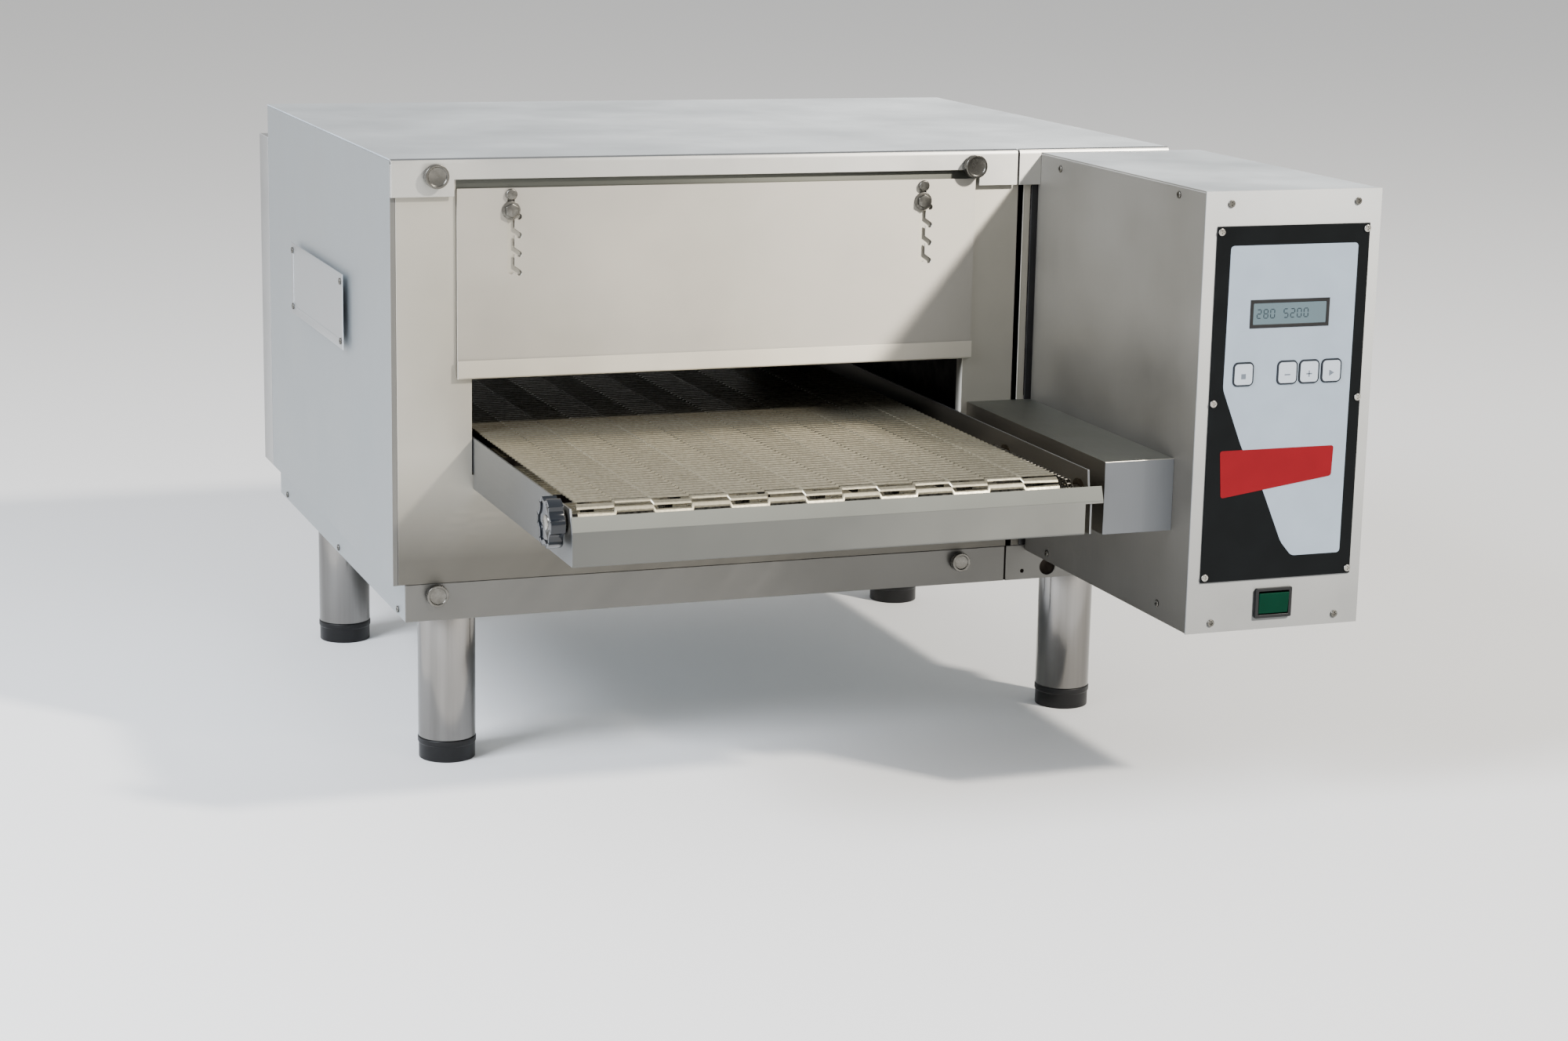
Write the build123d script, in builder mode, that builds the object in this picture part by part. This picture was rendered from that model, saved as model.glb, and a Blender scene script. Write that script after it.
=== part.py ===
from build123d import *
from math import cos, radians, sin
import os

# A countertop conveyor pizza oven: an insulated tunnel on four legs, a wire belt that carries
# the food in at the front, a gate that sets the height of the mouth, and a control box beside it.
# Casing coordinates: x to the right from the left wall, y to the back from the front panel,
# z up from the underside of the body. at() turns them into the part's own frame, whose origin
# is at floor level under the middle of the whole oven.

# ---- driving dimensions, mm ----
CASING_W, CASING_D, CASING_H = 815.0, 606.0, 450.0
SHEET = 1.5                       # sheet thickness of the casing
HOT_W = 646.0                     # width of the hot side; the electrical side is to its right
BASE_H, BASE_INSET, BASE_D = 37.0, 12.0, 625.0
REAR_Y, REAR_TOP = 655.0, 413.0   # back face and top of the rear cover
RAIL_BOTTOM, RAIL_FRONT = 414.0, -6.0
MOUTH_X, SILL_Z = (79.0, 593.0), 143.0
MOUTH_TOP, REAR_MOUTH_TOP, LIP_DEPTH = 330.0, 240.0, 14.0

LEG_X, LEG_Y = (68.0, 750.0), (62.0, 545.0)
LEG_R, FOOT_R, LEG_H, FOOT_H = 28.7, 29.2, 157.0, 22.0
STUD_R, STUD_H = 5.0, 50.0
GAP, RUNNING = 0.3, 0.05          # gap between bodies, radial clearance of a running fit

GATE_X, GATE_Z, GATE_Y = (64.0, 600.0), (238.0, 421.0), (-3.5, -2.0)
GATE_LIP_TOP, GATE_LIP_Y = 256.0, -5.75
SLOT_X, SLOT_Z, SLOT_W = (117.0, 543.0), (338.0, 418.5), 7.0
NOTCH_PITCH, NOTCH_TOP, NOTCHES = 18.0, 396.0, 4
CLAMP_Z, STOP_Z = 399.5, 415.0    # the large clamp screws and the small stop screws

BELT_X, BELT_T = (84.0, 551.0), 3.5
SHAFT_Z, SHAFT_R, BELT_R = 165.0, 6.0, 19.0
NOSE_Y, DRIVE_Y, RETURN_Y = -315.0, -150.0, 628.0
BUSH_R, SPROCKET_R, CHAIN_X, CHAIN_R = 10.0, 15.0, (559.5, 565.5), 12.5
LEFT_PLATE, RIGHT_PLATE = (80.0, 82.0), (576.5, 578.5)
TRAY_FRONT, TRAY_BOTTOM, TRAY_TOP, GUARD_TOP = -342.0, 129.0, 179.5, 188.0
APRON_END, APRON_BAND_END, APRON_FOLD = 571.0, 589.0, 160.0
COVER_X, COVER_FRONT, COVER_Z = (599.5, 671.0), -322.0, (123.0, 192.0)

BOX_X, BOX_FRONT, BOX_Z = (671.0, 854.0), -360.0, (31.0, 446.0)
FASCIA_T, OVERLAY_T = 1.5, 1.4
OVERLAY_X, OVERLAY_Z = (684.0, 842.5), (80.0, 414.0)
DISPLAY_X, DISPLAY_Z = (721.0, 804.0), (319.0, 345.5)
KEY_X, KEY_Z, KEY_W, KEY_H, KEY_FRONT = (717.0, 763.0, 786.0, 809.6), 276.5, 21.0, 22.0, -362.6
SWITCH_X, SWITCH_Z, SWITCH_FRONT = (742.5, 781.0), (42.0, 71.0), -363.0
ROCKER_PIVOT_Y, ROCKER_TILT, ROCKER_FACE, ROCKER_HALF = -360.5, 6.0, 3.0, 10.3

CHAMBER_X, CHAMBER_Y, CHAMBER_Z = (66.0, 622.0), (16.0, 590.0), (60.0, 396.5)
FAN_Y, FAN_Z, FAN_R = 300.0, 318.0, 62.0
BADGE_Y, BADGE_Z, BADGE_GAP, BADGE_T = (190.0, 449.0), (238.0, 315.0), 5.0, 1.0
HEAD_H, SMALL_HEAD_R = 1.5, 3.5
GLAND_X, GLAND_Z, GLAND_R, GLAND_BORE, GLAND_L = 740.0, 80.0, 12.0, 5.0, 18.0

# ---- how far the oven reaches each way, which places the origin ----
LEFT_REACH = -(BADGE_GAP + BADGE_T + HEAD_H)
RIGHT_REACH = BOX_X[1] + HEAD_H
FRONT_REACH = (ROCKER_PIVOT_Y - ROCKER_FACE * cos(radians(ROCKER_TILT))
               - ROCKER_HALF * sin(radians(ROCKER_TILT)))
REAR_REACH = REAR_Y + GLAND_L
SHIFT = (-(LEFT_REACH + RIGHT_REACH) / 2, -(FRONT_REACH + REAR_REACH) / 2, LEG_H)

os.makedirs("parts", exist_ok=True)


def at(x, y, z):
    """A point given in casing coordinates, in the part's frame."""
    return (x + SHIFT[0], y + SHIFT[1], z + SHIFT[2])


def write(piece, name):
    """Label a finished sub-part and write it."""
    piece.part.label = name
    export_step(piece.part, f"parts/{name}.step")


def slab(x, y, z, mode=Mode.ADD):
    """A rectangular block between two limits on each axis."""
    with Locations(at(sum(x) / 2, sum(y) / 2, sum(z) / 2)):
        Box(x[1] - x[0], y[1] - y[0], z[1] - z[0], mode=mode)


def rod_x(x, y, z, r, mode=Mode.ADD):
    """A round bar or hole along x."""
    with Locations(Location(at(sum(x) / 2, y, z), (0, 90, 0))):
        Cylinder(r, x[1] - x[0], mode=mode)


def rod_y(x, y, z, r, mode=Mode.ADD):
    """A round bar or hole along y."""
    with Locations(Location(at(x, sum(y) / 2, z), (90, 0, 0))):
        Cylinder(r, y[1] - y[0], mode=mode)


def side_plane(x):
    """A plane across the oven: local x runs back, local y up, and it is extruded to the right."""
    return Plane(origin=at(x, 0, 0), x_dir=(0, 1, 0), z_dir=(1, 0, 0))


def front_plane(y):
    """A plane facing the front: local x runs right, local y up, and it is extruded forwards."""
    return Plane(origin=at(0, y, 0), x_dir=(1, 0, 0), z_dir=(0, -1, 0))


def folded_sheet(x, bends, radius, thickness=SHEET):
    """A sheet folded along x, its middle line given as (y, z) points."""
    with BuildSketch(side_plane(x[0])) as profile:
        with BuildLine():
            FilletPolyline(*bends, radius=radius)
        trace(line_width=thickness)
    extrude(profile.sketch, amount=x[1] - x[0])


def shell(x, y, z, open_side, wall=SHEET):
    """A thin box without its front, back, left or right side."""
    slab(x, y, z)
    inner = [(lo + wall, hi - wall) for lo, hi in (x, y, z)]
    if open_side == "front":
        inner[1] = (y[0] - wall, inner[1][1])
    if open_side == "back":
        inner[1] = (y[0] + wall, y[1] + wall)
    if open_side == "right":
        inner[0] = (x[0] + wall, x[1] + wall)
    if open_side == "top":
        inner[2] = (z[0] + wall, z[1] + wall)
    slab(*inner, mode=Mode.SUBTRACT)


def screw_head(normal, place, r, height=HEAD_H):
    """A low domed head standing on a face, its normal along x or y."""
    plane = Plane(origin=at(*place), z_dir=normal)
    with BuildSketch(plane) as outline:
        Circle(r)
    extrude(outline.sketch, amount=height, taper=20)


def belt_loop(x, front, back, outer, thickness):
    """A closed band round two shafts, its section a ring with round ends."""
    with BuildSketch(side_plane(x[0])) as ring:
        with Locations(((front + back) / 2, SHAFT_Z)):
            SlotCenterToCenter(back - front, 2 * outer)
            SlotCenterToCenter(back - front, 2 * (outer - thickness), mode=Mode.SUBTRACT)
    extrude(ring.sketch, amount=x[1] - x[0])


def toothed_wheel(x, y, z, root, tip, teeth, tooth_w):
    """A sprocket on a shaft along x."""
    with BuildSketch(side_plane(x[0])) as wheel:
        with Locations((y, z)):
            Circle(root)
            with PolarLocations((root + tip) / 2 - 0.5, teeth):
                Rectangle(tip - root + 1, tooth_w)
    extrude(wheel.sketch, amount=x[1] - x[0])


# ---- base and legs ----
with BuildPart() as base_tray:
    shell((BASE_INSET, CASING_W - BASE_INSET), (2.2, BASE_D), (0, BASE_H - 0.2), "top")
write(base_tray, "base_tray")

with BuildPart() as front_base_rail:
    slab((BASE_INSET, 648), (0, 1.8), (0, BASE_H - 0.3))
write(front_base_rail, "front_base_rail")

with BuildPart() as right_base_plate:
    slab((650, CASING_W - BASE_INSET), (0, 1.8), (0, BASE_H - 0.3))
    rod_y(669, (-1, 3), 9, 2.2, Mode.SUBTRACT)
    rod_y(698, (-1, 3), 12, 9, Mode.SUBTRACT)
write(right_base_plate, "right_base_plate")

TUBE_BOTTOM = -LEG_H + FOOT_H + GAP
NUT_H, CAP_H = 8.0, 3.0
with BuildPart() as leg_tubes:
    for leg_x in LEG_X:
        for leg_y in LEG_Y:
            with Locations(at(leg_x, leg_y, TUBE_BOTTOM / 2)):
                Cylinder(LEG_R, -TUBE_BOTTOM)
            with Locations(at(leg_x, leg_y, (TUBE_BOTTOM + NUT_H - CAP_H) / 2)):
                Cylinder(LEG_R - SHEET, -CAP_H - TUBE_BOTTOM - NUT_H, mode=Mode.SUBTRACT)
            with Locations(at(leg_x, leg_y, TUBE_BOTTOM + NUT_H / 2)):
                Cylinder(STUD_R + RUNNING, NUT_H + 1, mode=Mode.SUBTRACT)
write(leg_tubes, "leg_tubes")

FEET = {"foot_front_left": (LEG_X[0], LEG_Y[0]), "foot_front_right": (LEG_X[1], LEG_Y[0]),
        "foot_rear_left": (LEG_X[0], LEG_Y[1]), "foot_rear_right": (LEG_X[1], LEG_Y[1])}
GROOVE_LOW, GROOVE_HIGH, GROOVE_DEEP = 9.0, 11.5, 1.6
for foot_name, (foot_x, foot_y) in FEET.items():
    with BuildPart() as foot:
        with BuildSketch(Plane(origin=at(foot_x, foot_y, -LEG_H), x_dir=(1, 0, 0), z_dir=(0, -1, 0))):
            with BuildLine():
                Polyline((0, 0), (FOOT_R - 1.5, 0), (FOOT_R, 1.5), (FOOT_R, GROOVE_LOW),
                         (FOOT_R - GROOVE_DEEP, GROOVE_LOW + 0.6), (FOOT_R - GROOVE_DEEP, GROOVE_HIGH - 0.6),
                         (FOOT_R, GROOVE_HIGH), (FOOT_R, FOOT_H - 1), (FOOT_R - 1, FOOT_H),
                         (STUD_R, FOOT_H), (STUD_R, STUD_H), (0, STUD_H), close=True)
            make_face()
        revolve(axis=Axis(at(foot_x, foot_y, 0), (0, 0, 1)))
    write(foot, foot_name)

# ---- casing ----
with BuildPart() as left_casing:
    slab((0, SHEET), (0, 604.3), (BASE_H, 448.3))
    slab((0, 5), (0, SHEET), (BASE_H, RAIL_BOTTOM - 0.3))
    slab((0, 40), (2, 604.3), (BASE_H, BASE_H + SHEET))
write(left_casing, "left_casing")

with BuildPart() as right_casing:
    slab((CASING_W - SHEET, CASING_W), (0, 604.3), (BASE_H, 448.3))
    slab((CASING_W - 5, CASING_W), (0, SHEET), (BASE_H, RAIL_BOTTOM - 0.3))
    slab((CASING_W - 40, CASING_W), (2, 604.3), (BASE_H, BASE_H + SHEET))
write(right_casing, "right_casing")

with BuildPart() as top_cover:
    slab((0, CASING_W), (0.5, CASING_D), (CASING_H - SHEET, CASING_H))
    for lip_x in (1.8, CASING_W - 3.3):
        slab((lip_x, lip_x + SHEET), (10, 590), (430, CASING_H - SHEET))
write(top_cover, "top_cover")

with BuildPart() as front_panel:
    slab((5.3, 649), (0, SHEET), (BASE_H + 0.3, 447.5))
    slab((MOUTH_X[0] - SHEET, MOUTH_X[1] + SHEET), (0, LIP_DEPTH), (SILL_Z - SHEET, MOUTH_TOP + SHEET))
    slab(MOUTH_X, (-1, LIP_DEPTH + 1), (SILL_Z, MOUTH_TOP), Mode.SUBTRACT)
write(front_panel, "front_panel")

with BuildPart() as right_front_panel:
    slab((655, CASING_W - 5.3), (0, SHEET), (BASE_H + 0.3, 447.5))
    slab((663, 666), (-1, 3), (196, 412), Mode.SUBTRACT)
write(right_front_panel, "right_front_panel")

RAIL_BEND = 4.25
RAIL_LINE = ((0.2, CASING_H - SHEET / 2), (RAIL_FRONT + SHEET / 2, CASING_H - SHEET / 2),
             (RAIL_FRONT + SHEET / 2, RAIL_BOTTOM))
with BuildPart() as top_front_rail:
    folded_sheet((0, 645), RAIL_LINE, RAIL_BEND)
    slab((0, SHEET), (RAIL_FRONT + 0.5, 0), (RAIL_BOTTOM, CASING_H - 5))
    slab((GATE_X[0] - 3, GATE_X[1] + 3), (RAIL_FRONT - 1, 0), (RAIL_BOTTOM - 1, 430), Mode.SUBTRACT)
write(top_front_rail, "top_front_rail")

with BuildPart() as right_top_rail:
    folded_sheet((647, CASING_W), RAIL_LINE, RAIL_BEND)
    slab((BOX_X[0] - 0.3, CASING_W + 1), (RAIL_FRONT - 1, 0), (RAIL_BOTTOM - 1, BOX_Z[1] + 0.3),
         Mode.SUBTRACT)
write(right_top_rail, "right_top_rail")

with BuildPart() as rear_panel:
    slab((1.8, CASING_W - 1.8), (604.5, CASING_D), (38.8, 448.2))
    slab(MOUTH_X, (600, 610), (SILL_Z, REAR_MOUTH_TOP), Mode.SUBTRACT)
write(rear_panel, "rear_panel")

LOUVRES, LOUVRE_PITCH, LOUVRE_H = 12, 14.0, 5.0
with BuildPart() as rear_cover:
    shell((0, CASING_W), (CASING_D + 0.2, REAR_Y), (BASE_H, REAR_TOP), "front")
    slab(MOUTH_X, (650, 660), (SILL_Z, REAR_MOUTH_TOP), Mode.SUBTRACT)
    for row in range(LOUVRES):
        louvre_z = 150 + row * LOUVRE_PITCH
        slab((670, 790), (650, 660), (louvre_z, louvre_z + LOUVRE_H), Mode.SUBTRACT)
    rod_y(GLAND_X, (650, 660), GLAND_Z, GLAND_BORE + 1, Mode.SUBTRACT)
write(rear_cover, "rear_cover")

with BuildPart() as exit_chute:
    folded_sheet((84, 588), ((REAR_Y + 0.75, 141), (REAR_Y + 0.75, 164), (672, 157)), 3)
write(exit_chute, "exit_chute")

with BuildPart() as cable_gland:
    with BuildSketch(front_plane(REAR_Y + GLAND_L)):
        with Locations((GLAND_X, GLAND_Z)):
            Circle(GLAND_R - 2)
            Circle(GLAND_BORE, mode=Mode.SUBTRACT)
    extrude(amount=GLAND_L)
    with BuildSketch(front_plane(REAR_Y + 7)):
        with Locations((GLAND_X, GLAND_Z)):
            RegularPolygon(GLAND_R + 2, 6)
            Circle(GLAND_BORE, mode=Mode.SUBTRACT)
    extrude(amount=7)
write(cable_gland, "cable_gland")

with BuildPart() as badge_plate:
    slab((-BADGE_GAP - BADGE_T, -BADGE_GAP), BADGE_Y, BADGE_Z)
write(badge_plate, "badge_plate")

BASE_SCREWS = [(y, 6.0) for y in (31.0, 307.0, 584.0)]
BADGE_INSET = 8.0
BADGE_SCREWS = [(y, z) for y in (BADGE_Y[0] + BADGE_INSET, BADGE_Y[1] - BADGE_INSET)
                for z in (BADGE_Z[0] + BADGE_INSET, BADGE_Z[1] - BADGE_INSET)]
BOX_SCREWS = [(-52.0, 434.5), (-307.0, 437.5), (-301.0, 47.0), (-54.5, 40.0)]
with BuildPart() as casing_screws:
    for screw_y, screw_z in BASE_SCREWS:
        screw_head((-1, 0, 0), (BASE_INSET, screw_y, screw_z), SMALL_HEAD_R)
        screw_head((1, 0, 0), (CASING_W - BASE_INSET, screw_y, screw_z), SMALL_HEAD_R)
    for screw_y, screw_z in BADGE_SCREWS:
        rod_x((-BADGE_GAP, 0), screw_y, screw_z, 3)
        screw_head((-1, 0, 0), (-BADGE_GAP - BADGE_T, screw_y, screw_z), SMALL_HEAD_R)
    for screw_y, screw_z in BOX_SCREWS:
        screw_head((-1, 0, 0), (BOX_X[0], screw_y, screw_z), SMALL_HEAD_R)
        screw_head((1, 0, 0), (BOX_X[1], screw_y, screw_z), SMALL_HEAD_R)
write(casing_screws, "casing_screws")

KNOB_R, KNOB_H = 12.0, 9.0
KNOB_PLACES = [(42.6, RAIL_FRONT, 434.0), (596.0, RAIL_FRONT, 434.0), (42.6, 0.0, 26.0), (596.0, 0.0, 24.5)]
with BuildPart() as panel_knobs:
    for knob_x, knob_y, knob_z in KNOB_PLACES:
        with BuildSketch(Plane(origin=at(knob_x, knob_y, knob_z), x_dir=(1, 0, 0), z_dir=(0, 0, 1))):
            with BuildLine():
                Polyline((0, 0), (8, 0), (8, -2), (KNOB_R, -2), (KNOB_R, -KNOB_H + 1.5),
                         (KNOB_R - 1.5, -KNOB_H), (6, -KNOB_H), (5, -KNOB_H + 1.5), (0, -KNOB_H + 1.5),
                         close=True)
            make_face()
        revolve(axis=Axis(at(knob_x, 0, knob_z), (0, 1, 0)))
write(panel_knobs, "panel_knobs")

# ---- hot chamber ----
CHAMBER_WALL = 1.5
with BuildPart() as chamber_floor:
    slab(CHAMBER_X, CHAMBER_Y, (CHAMBER_Z[0], CHAMBER_Z[0] + CHAMBER_WALL))
write(chamber_floor, "chamber_floor")

with BuildPart() as chamber_roof:
    slab(CHAMBER_X, CHAMBER_Y, (CHAMBER_Z[1] - CHAMBER_WALL, CHAMBER_Z[1]))
write(chamber_roof, "chamber_roof")

with BuildPart() as chamber_left_wall:
    slab((CHAMBER_X[0] - CHAMBER_WALL, CHAMBER_X[0]), CHAMBER_Y, CHAMBER_Z)
write(chamber_left_wall, "chamber_left_wall")

with BuildPart() as chamber_right_wall:
    slab((CHAMBER_X[1], CHAMBER_X[1] + CHAMBER_WALL), CHAMBER_Y, CHAMBER_Z)
    rod_x((CHAMBER_X[1] - 2, CHAMBER_X[1] + 4), FAN_Y, FAN_Z, 9, Mode.SUBTRACT)
write(chamber_right_wall, "chamber_right_wall")

with BuildPart() as insulation_slabs:
    slab((30, 640), CHAMBER_Y, (397, 429))
    slab((42, 640), CHAMBER_Y, (39, 59.5))
    slab((6, 64), CHAMBER_Y, (62, 395))
    slab((624, 645.5), CHAMBER_Y, (62, 395))
    rod_x((620, 650), FAN_Y, FAN_Z, 11, Mode.SUBTRACT)
write(insulation_slabs, "insulation_slabs")

with BuildPart() as bulkhead:
    slab((HOT_W, HOT_W + SHEET), (2, 604), (39, 447))
    rod_x((HOT_W - 2, HOT_W + 4), FAN_Y, FAN_Z, 9, Mode.SUBTRACT)
write(bulkhead, "bulkhead")


def jet_plate(z):
    """A plate with rows of round nozzles that blow hot air at the food."""
    slab((68, 600), (20, 586), (z, z + 1.5))
    with Locations(at(334, 303, z + 0.75)):
        with GridLocations(50, 56, 10, 10):
            Cylinder(6, 4, mode=Mode.SUBTRACT)


with BuildPart() as upper_jet_plate:
    jet_plate(300)
write(upper_jet_plate, "upper_jet_plate")

with BuildPart() as lower_jet_plate:
    jet_plate(112)
write(lower_jet_plate, "lower_jet_plate")

HAIRPIN_R, HAIRPIN_HALF = 4.0, 30.0
with BuildPart() as heating_elements:
    for element_z in (88.0, 345.0):
        for element_x in (130.0, 270.0, 410.0, 550.0):
            plan = Plane(origin=at(element_x, 0, element_z))
            with BuildLine(plan):
                left_leg = Line((-HAIRPIN_HALF, 560), (-HAIRPIN_HALF, 80))
                bend = TangentArc(left_leg @ 1, (HAIRPIN_HALF, 80), tangent=left_leg % 1)
                Line(bend @ 1, (HAIRPIN_HALF, 560))
            with BuildSketch(Plane(origin=at(element_x - HAIRPIN_HALF, 560, element_z), z_dir=(0, -1, 0))):
                Circle(HAIRPIN_R)
            sweep()
write(heating_elements, "heating_elements")

FAN_X = (606.0, 619.0)
with BuildPart() as fan_impeller:
    rod_x((FAN_X[0], 700), FAN_Y, FAN_Z, SHAFT_R)
    rod_x((FAN_X[0], FAN_X[1]), FAN_Y, FAN_Z, 14)
    rod_x((FAN_X[1] - 1.5, FAN_X[1]), FAN_Y, FAN_Z, FAN_R)
    with BuildSketch(side_plane(FAN_X[0])):
        with Locations((FAN_Y, FAN_Z)):
            with PolarLocations((FAN_R + 22) / 2, 8):
                Rectangle(FAN_R - 22, 1.8, rotation=25)
    extrude(amount=FAN_X[1] - FAN_X[0])
write(fan_impeller, "fan_impeller")

with BuildPart() as fan_motor:
    rod_x((HOT_W + SHEET, HOT_W + SHEET + 4), FAN_Y, FAN_Z, 52)
    rod_x((HOT_W + SHEET + 4, 745), FAN_Y, FAN_Z, 42)
    rod_x((HOT_W, 702), FAN_Y, FAN_Z, SHAFT_R + RUNNING, Mode.SUBTRACT)
write(fan_motor, "fan_motor")

# ---- gate ----
GATE_MID = sum(GATE_Y) / 2
with BuildPart() as gate:
    folded_sheet(GATE_X, ((GATE_MID, GATE_Z[1]), (GATE_MID, GATE_Z[0] + 0.75),
                          (GATE_LIP_Y, GATE_Z[0] + 0.75), (GATE_LIP_Y, GATE_LIP_TOP)), 1.2)
    with BuildSketch(front_plane(0)):
        for slot_x in SLOT_X:
            with Locations((slot_x, sum(SLOT_Z) / 2)):
                SlotOverall(SLOT_Z[1] - SLOT_Z[0], SLOT_W, rotation=90)
            for notch in range(NOTCHES):
                with Locations((slot_x + 4, NOTCH_TOP - notch * NOTCH_PITCH)):
                    SlotOverall(15, 6, rotation=-35)
    extrude(amount=4, mode=Mode.SUBTRACT)
write(gate, "gate")

with BuildPart() as gate_screws:
    for slot_x in SLOT_X:
        rod_y(slot_x, (-4.2, 0), CLAMP_Z, 3)
        rod_y(slot_x, (-5.2, -3.8), CLAMP_Z, 9)
        rod_y(slot_x, (-9.5, -5.2), CLAMP_Z, 7)
        rod_y(slot_x, (-10, -8.5), CLAMP_Z, 2.5, Mode.SUBTRACT)
        rod_y(slot_x, (-3.8, 0), STOP_Z, 3)
        rod_y(slot_x, (-7.5, -3.8), STOP_Z, 5.5)
write(gate_screws, "gate_screws")

# ---- conveyor ----
def side_plate(x, top, holes):
    """A tray side: deep in front of the oven, shallow inside it, bored for the shafts."""
    with BuildSketch(side_plane(x[0])) as plate:
        with BuildLine():
            Polyline((TRAY_FRONT + 1.7, TRAY_BOTTOM), (-0.3, TRAY_BOTTOM), (-0.3, SILL_Z + 2),
                     (642, SILL_Z + 2), (642, top), (TRAY_FRONT + 10, top), (TRAY_FRONT + 8, 174),
                     (TRAY_FRONT + 1.7, APRON_FOLD - 2), close=True)
        make_face()
        with Locations(*[(y, SHAFT_Z) for y in holes]):
            Circle(BUSH_R, mode=Mode.SUBTRACT)
    extrude(plate.sketch, amount=x[1] - x[0])


with BuildPart() as conveyor_left_plate:
    side_plate(LEFT_PLATE, TRAY_TOP, (NOSE_Y, RETURN_Y))
write(conveyor_left_plate, "conveyor_left_plate")

with BuildPart() as conveyor_right_plate:
    side_plate(RIGHT_PLATE, GUARD_TOP, (NOSE_Y, DRIVE_Y, RETURN_Y))
write(conveyor_right_plate, "conveyor_right_plate")

APRON_Y, BAND_TOP = TRAY_FRONT + SHEET / 2, (-336.5, 173.0)
with BuildPart() as front_apron:
    folded_sheet((LEFT_PLATE[0], APRON_END), ((-325, TRAY_BOTTOM + 0.75), (APRON_Y, TRAY_BOTTOM + 0.75),
                                              (APRON_Y, APRON_FOLD), BAND_TOP), 1.2)
    slab((LEFT_PLATE[0] - 1, LEFT_PLATE[1]), (APRON_Y + 1, -320), (TRAY_BOTTOM - 1, TRAY_BOTTOM + 3),
         Mode.SUBTRACT)
    folded_sheet((APRON_END, APRON_BAND_END), ((APRON_Y, APRON_FOLD - 2), (APRON_Y, APRON_FOLD), BAND_TOP),
                 1.2)
write(front_apron, "front_apron")

ROD_YS, ROD_Z, ROD_R = (-230.0, -60.0, 100.0, 260.0, 420.0, 570.0), 166.0, 4.0
STRIPS, STRIP_PITCH = 6, 85.0
STRIP_Z = (ROD_Z + ROD_R + 0.1, SHAFT_Z + BELT_R - BELT_T - 0.2)
with BuildPart() as belt_support_frame:
    for rod in ROD_YS:
        rod_x((LEFT_PLATE[1], RIGHT_PLATE[0]), rod, ROD_Z, ROD_R)
    for strip in range(STRIPS):
        strip_x = 105 + strip * STRIP_PITCH
        slab((strip_x, strip_x + 4), (-294, 606), STRIP_Z)
write(belt_support_frame, "belt_support_frame")

with BuildPart() as mesh_belt:
    belt_loop(BELT_X, NOSE_Y, RETURN_Y, BELT_R, BELT_T)
write(mesh_belt, "mesh_belt")


def belt_shaft(x, y):
    """A shaft with the toothed wheels that carry the belt."""
    rod_x(x, y, SHAFT_Z, SHAFT_R)
    for wheel in range(7):
        wheel_x = 98 + wheel * 72
        toothed_wheel((wheel_x, wheel_x + 7), y, SHAFT_Z, SPROCKET_R - 3, SPROCKET_R, 12, 3)


with BuildPart() as nose_shaft:
    belt_shaft((66, 582), NOSE_Y)
    toothed_wheel((CHAIN_X[0] + 1, CHAIN_X[1] - 1), NOSE_Y, SHAFT_Z, 7.5, 9.6, 11, 2.2)
write(nose_shaft, "nose_shaft")

with BuildPart() as rear_shaft:
    belt_shaft((78, 582), RETURN_Y)
write(rear_shaft, "rear_shaft")

with BuildPart() as drive_shaft:
    rod_x((556, 698), DRIVE_Y, SHAFT_Z, SHAFT_R)
    rod_x((612, 640), DRIVE_Y, SHAFT_Z, 12)
    toothed_wheel((CHAIN_X[0] + 1, CHAIN_X[1] - 1), DRIVE_Y, SHAFT_Z, 7.5, 9.6, 11, 2.2)
write(drive_shaft, "drive_shaft")

with BuildPart() as drive_chain:
    belt_loop(CHAIN_X, NOSE_Y, DRIVE_Y, CHAIN_R, 2.4)
write(drive_chain, "drive_chain")

KNOB_OUTER, LOBES = 23.0, 6
with BuildPart() as belt_knob:
    with BuildSketch(side_plane(62)):
        with Locations((NOSE_Y, SHAFT_Z)):
            Circle(KNOB_OUTER)
            with PolarLocations(KNOB_OUTER + 4, LOBES, start_angle=30):
                Circle(8, mode=Mode.SUBTRACT)
    extrude(amount=13)
    fillet(belt_knob.edges().filter_by(GeomType.CIRCLE).group_by(Axis.X)[0], 2.5)
    rod_x((75, 79), NOSE_Y, SHAFT_Z, 12)
    rod_x((66, 80), NOSE_Y, SHAFT_Z, SHAFT_R, Mode.SUBTRACT)
write(belt_knob, "belt_knob")

BUSHES = [(LEFT_PLATE, NOSE_Y), (LEFT_PLATE, RETURN_Y), (RIGHT_PLATE, NOSE_Y), (RIGHT_PLATE, DRIVE_Y),
          (RIGHT_PLATE, RETURN_Y)]
with BuildPart() as shaft_bushings:
    for plate_x, bush_y in BUSHES:
        rod_x(plate_x, bush_y, SHAFT_Z, BUSH_R)
        rod_x((plate_x[1], plate_x[1] + 1.5) if plate_x is LEFT_PLATE else (plate_x[0] - 1.5, plate_x[0]),
              bush_y, SHAFT_Z, BUSH_R + 2)
        rod_x((plate_x[0] - 3, plate_x[1] + 3), bush_y, SHAFT_Z, SHAFT_R + RUNNING, Mode.SUBTRACT)
write(shaft_bushings, "shaft_bushings")

with BuildPart() as drive_cover:
    shell(COVER_X, (COVER_FRONT, 0), COVER_Z, "right")
    rod_x((COVER_X[0] - 1, COVER_X[0] + 3), DRIVE_Y, SHAFT_Z, 9, Mode.SUBTRACT)
write(drive_cover, "drive_cover")

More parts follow.
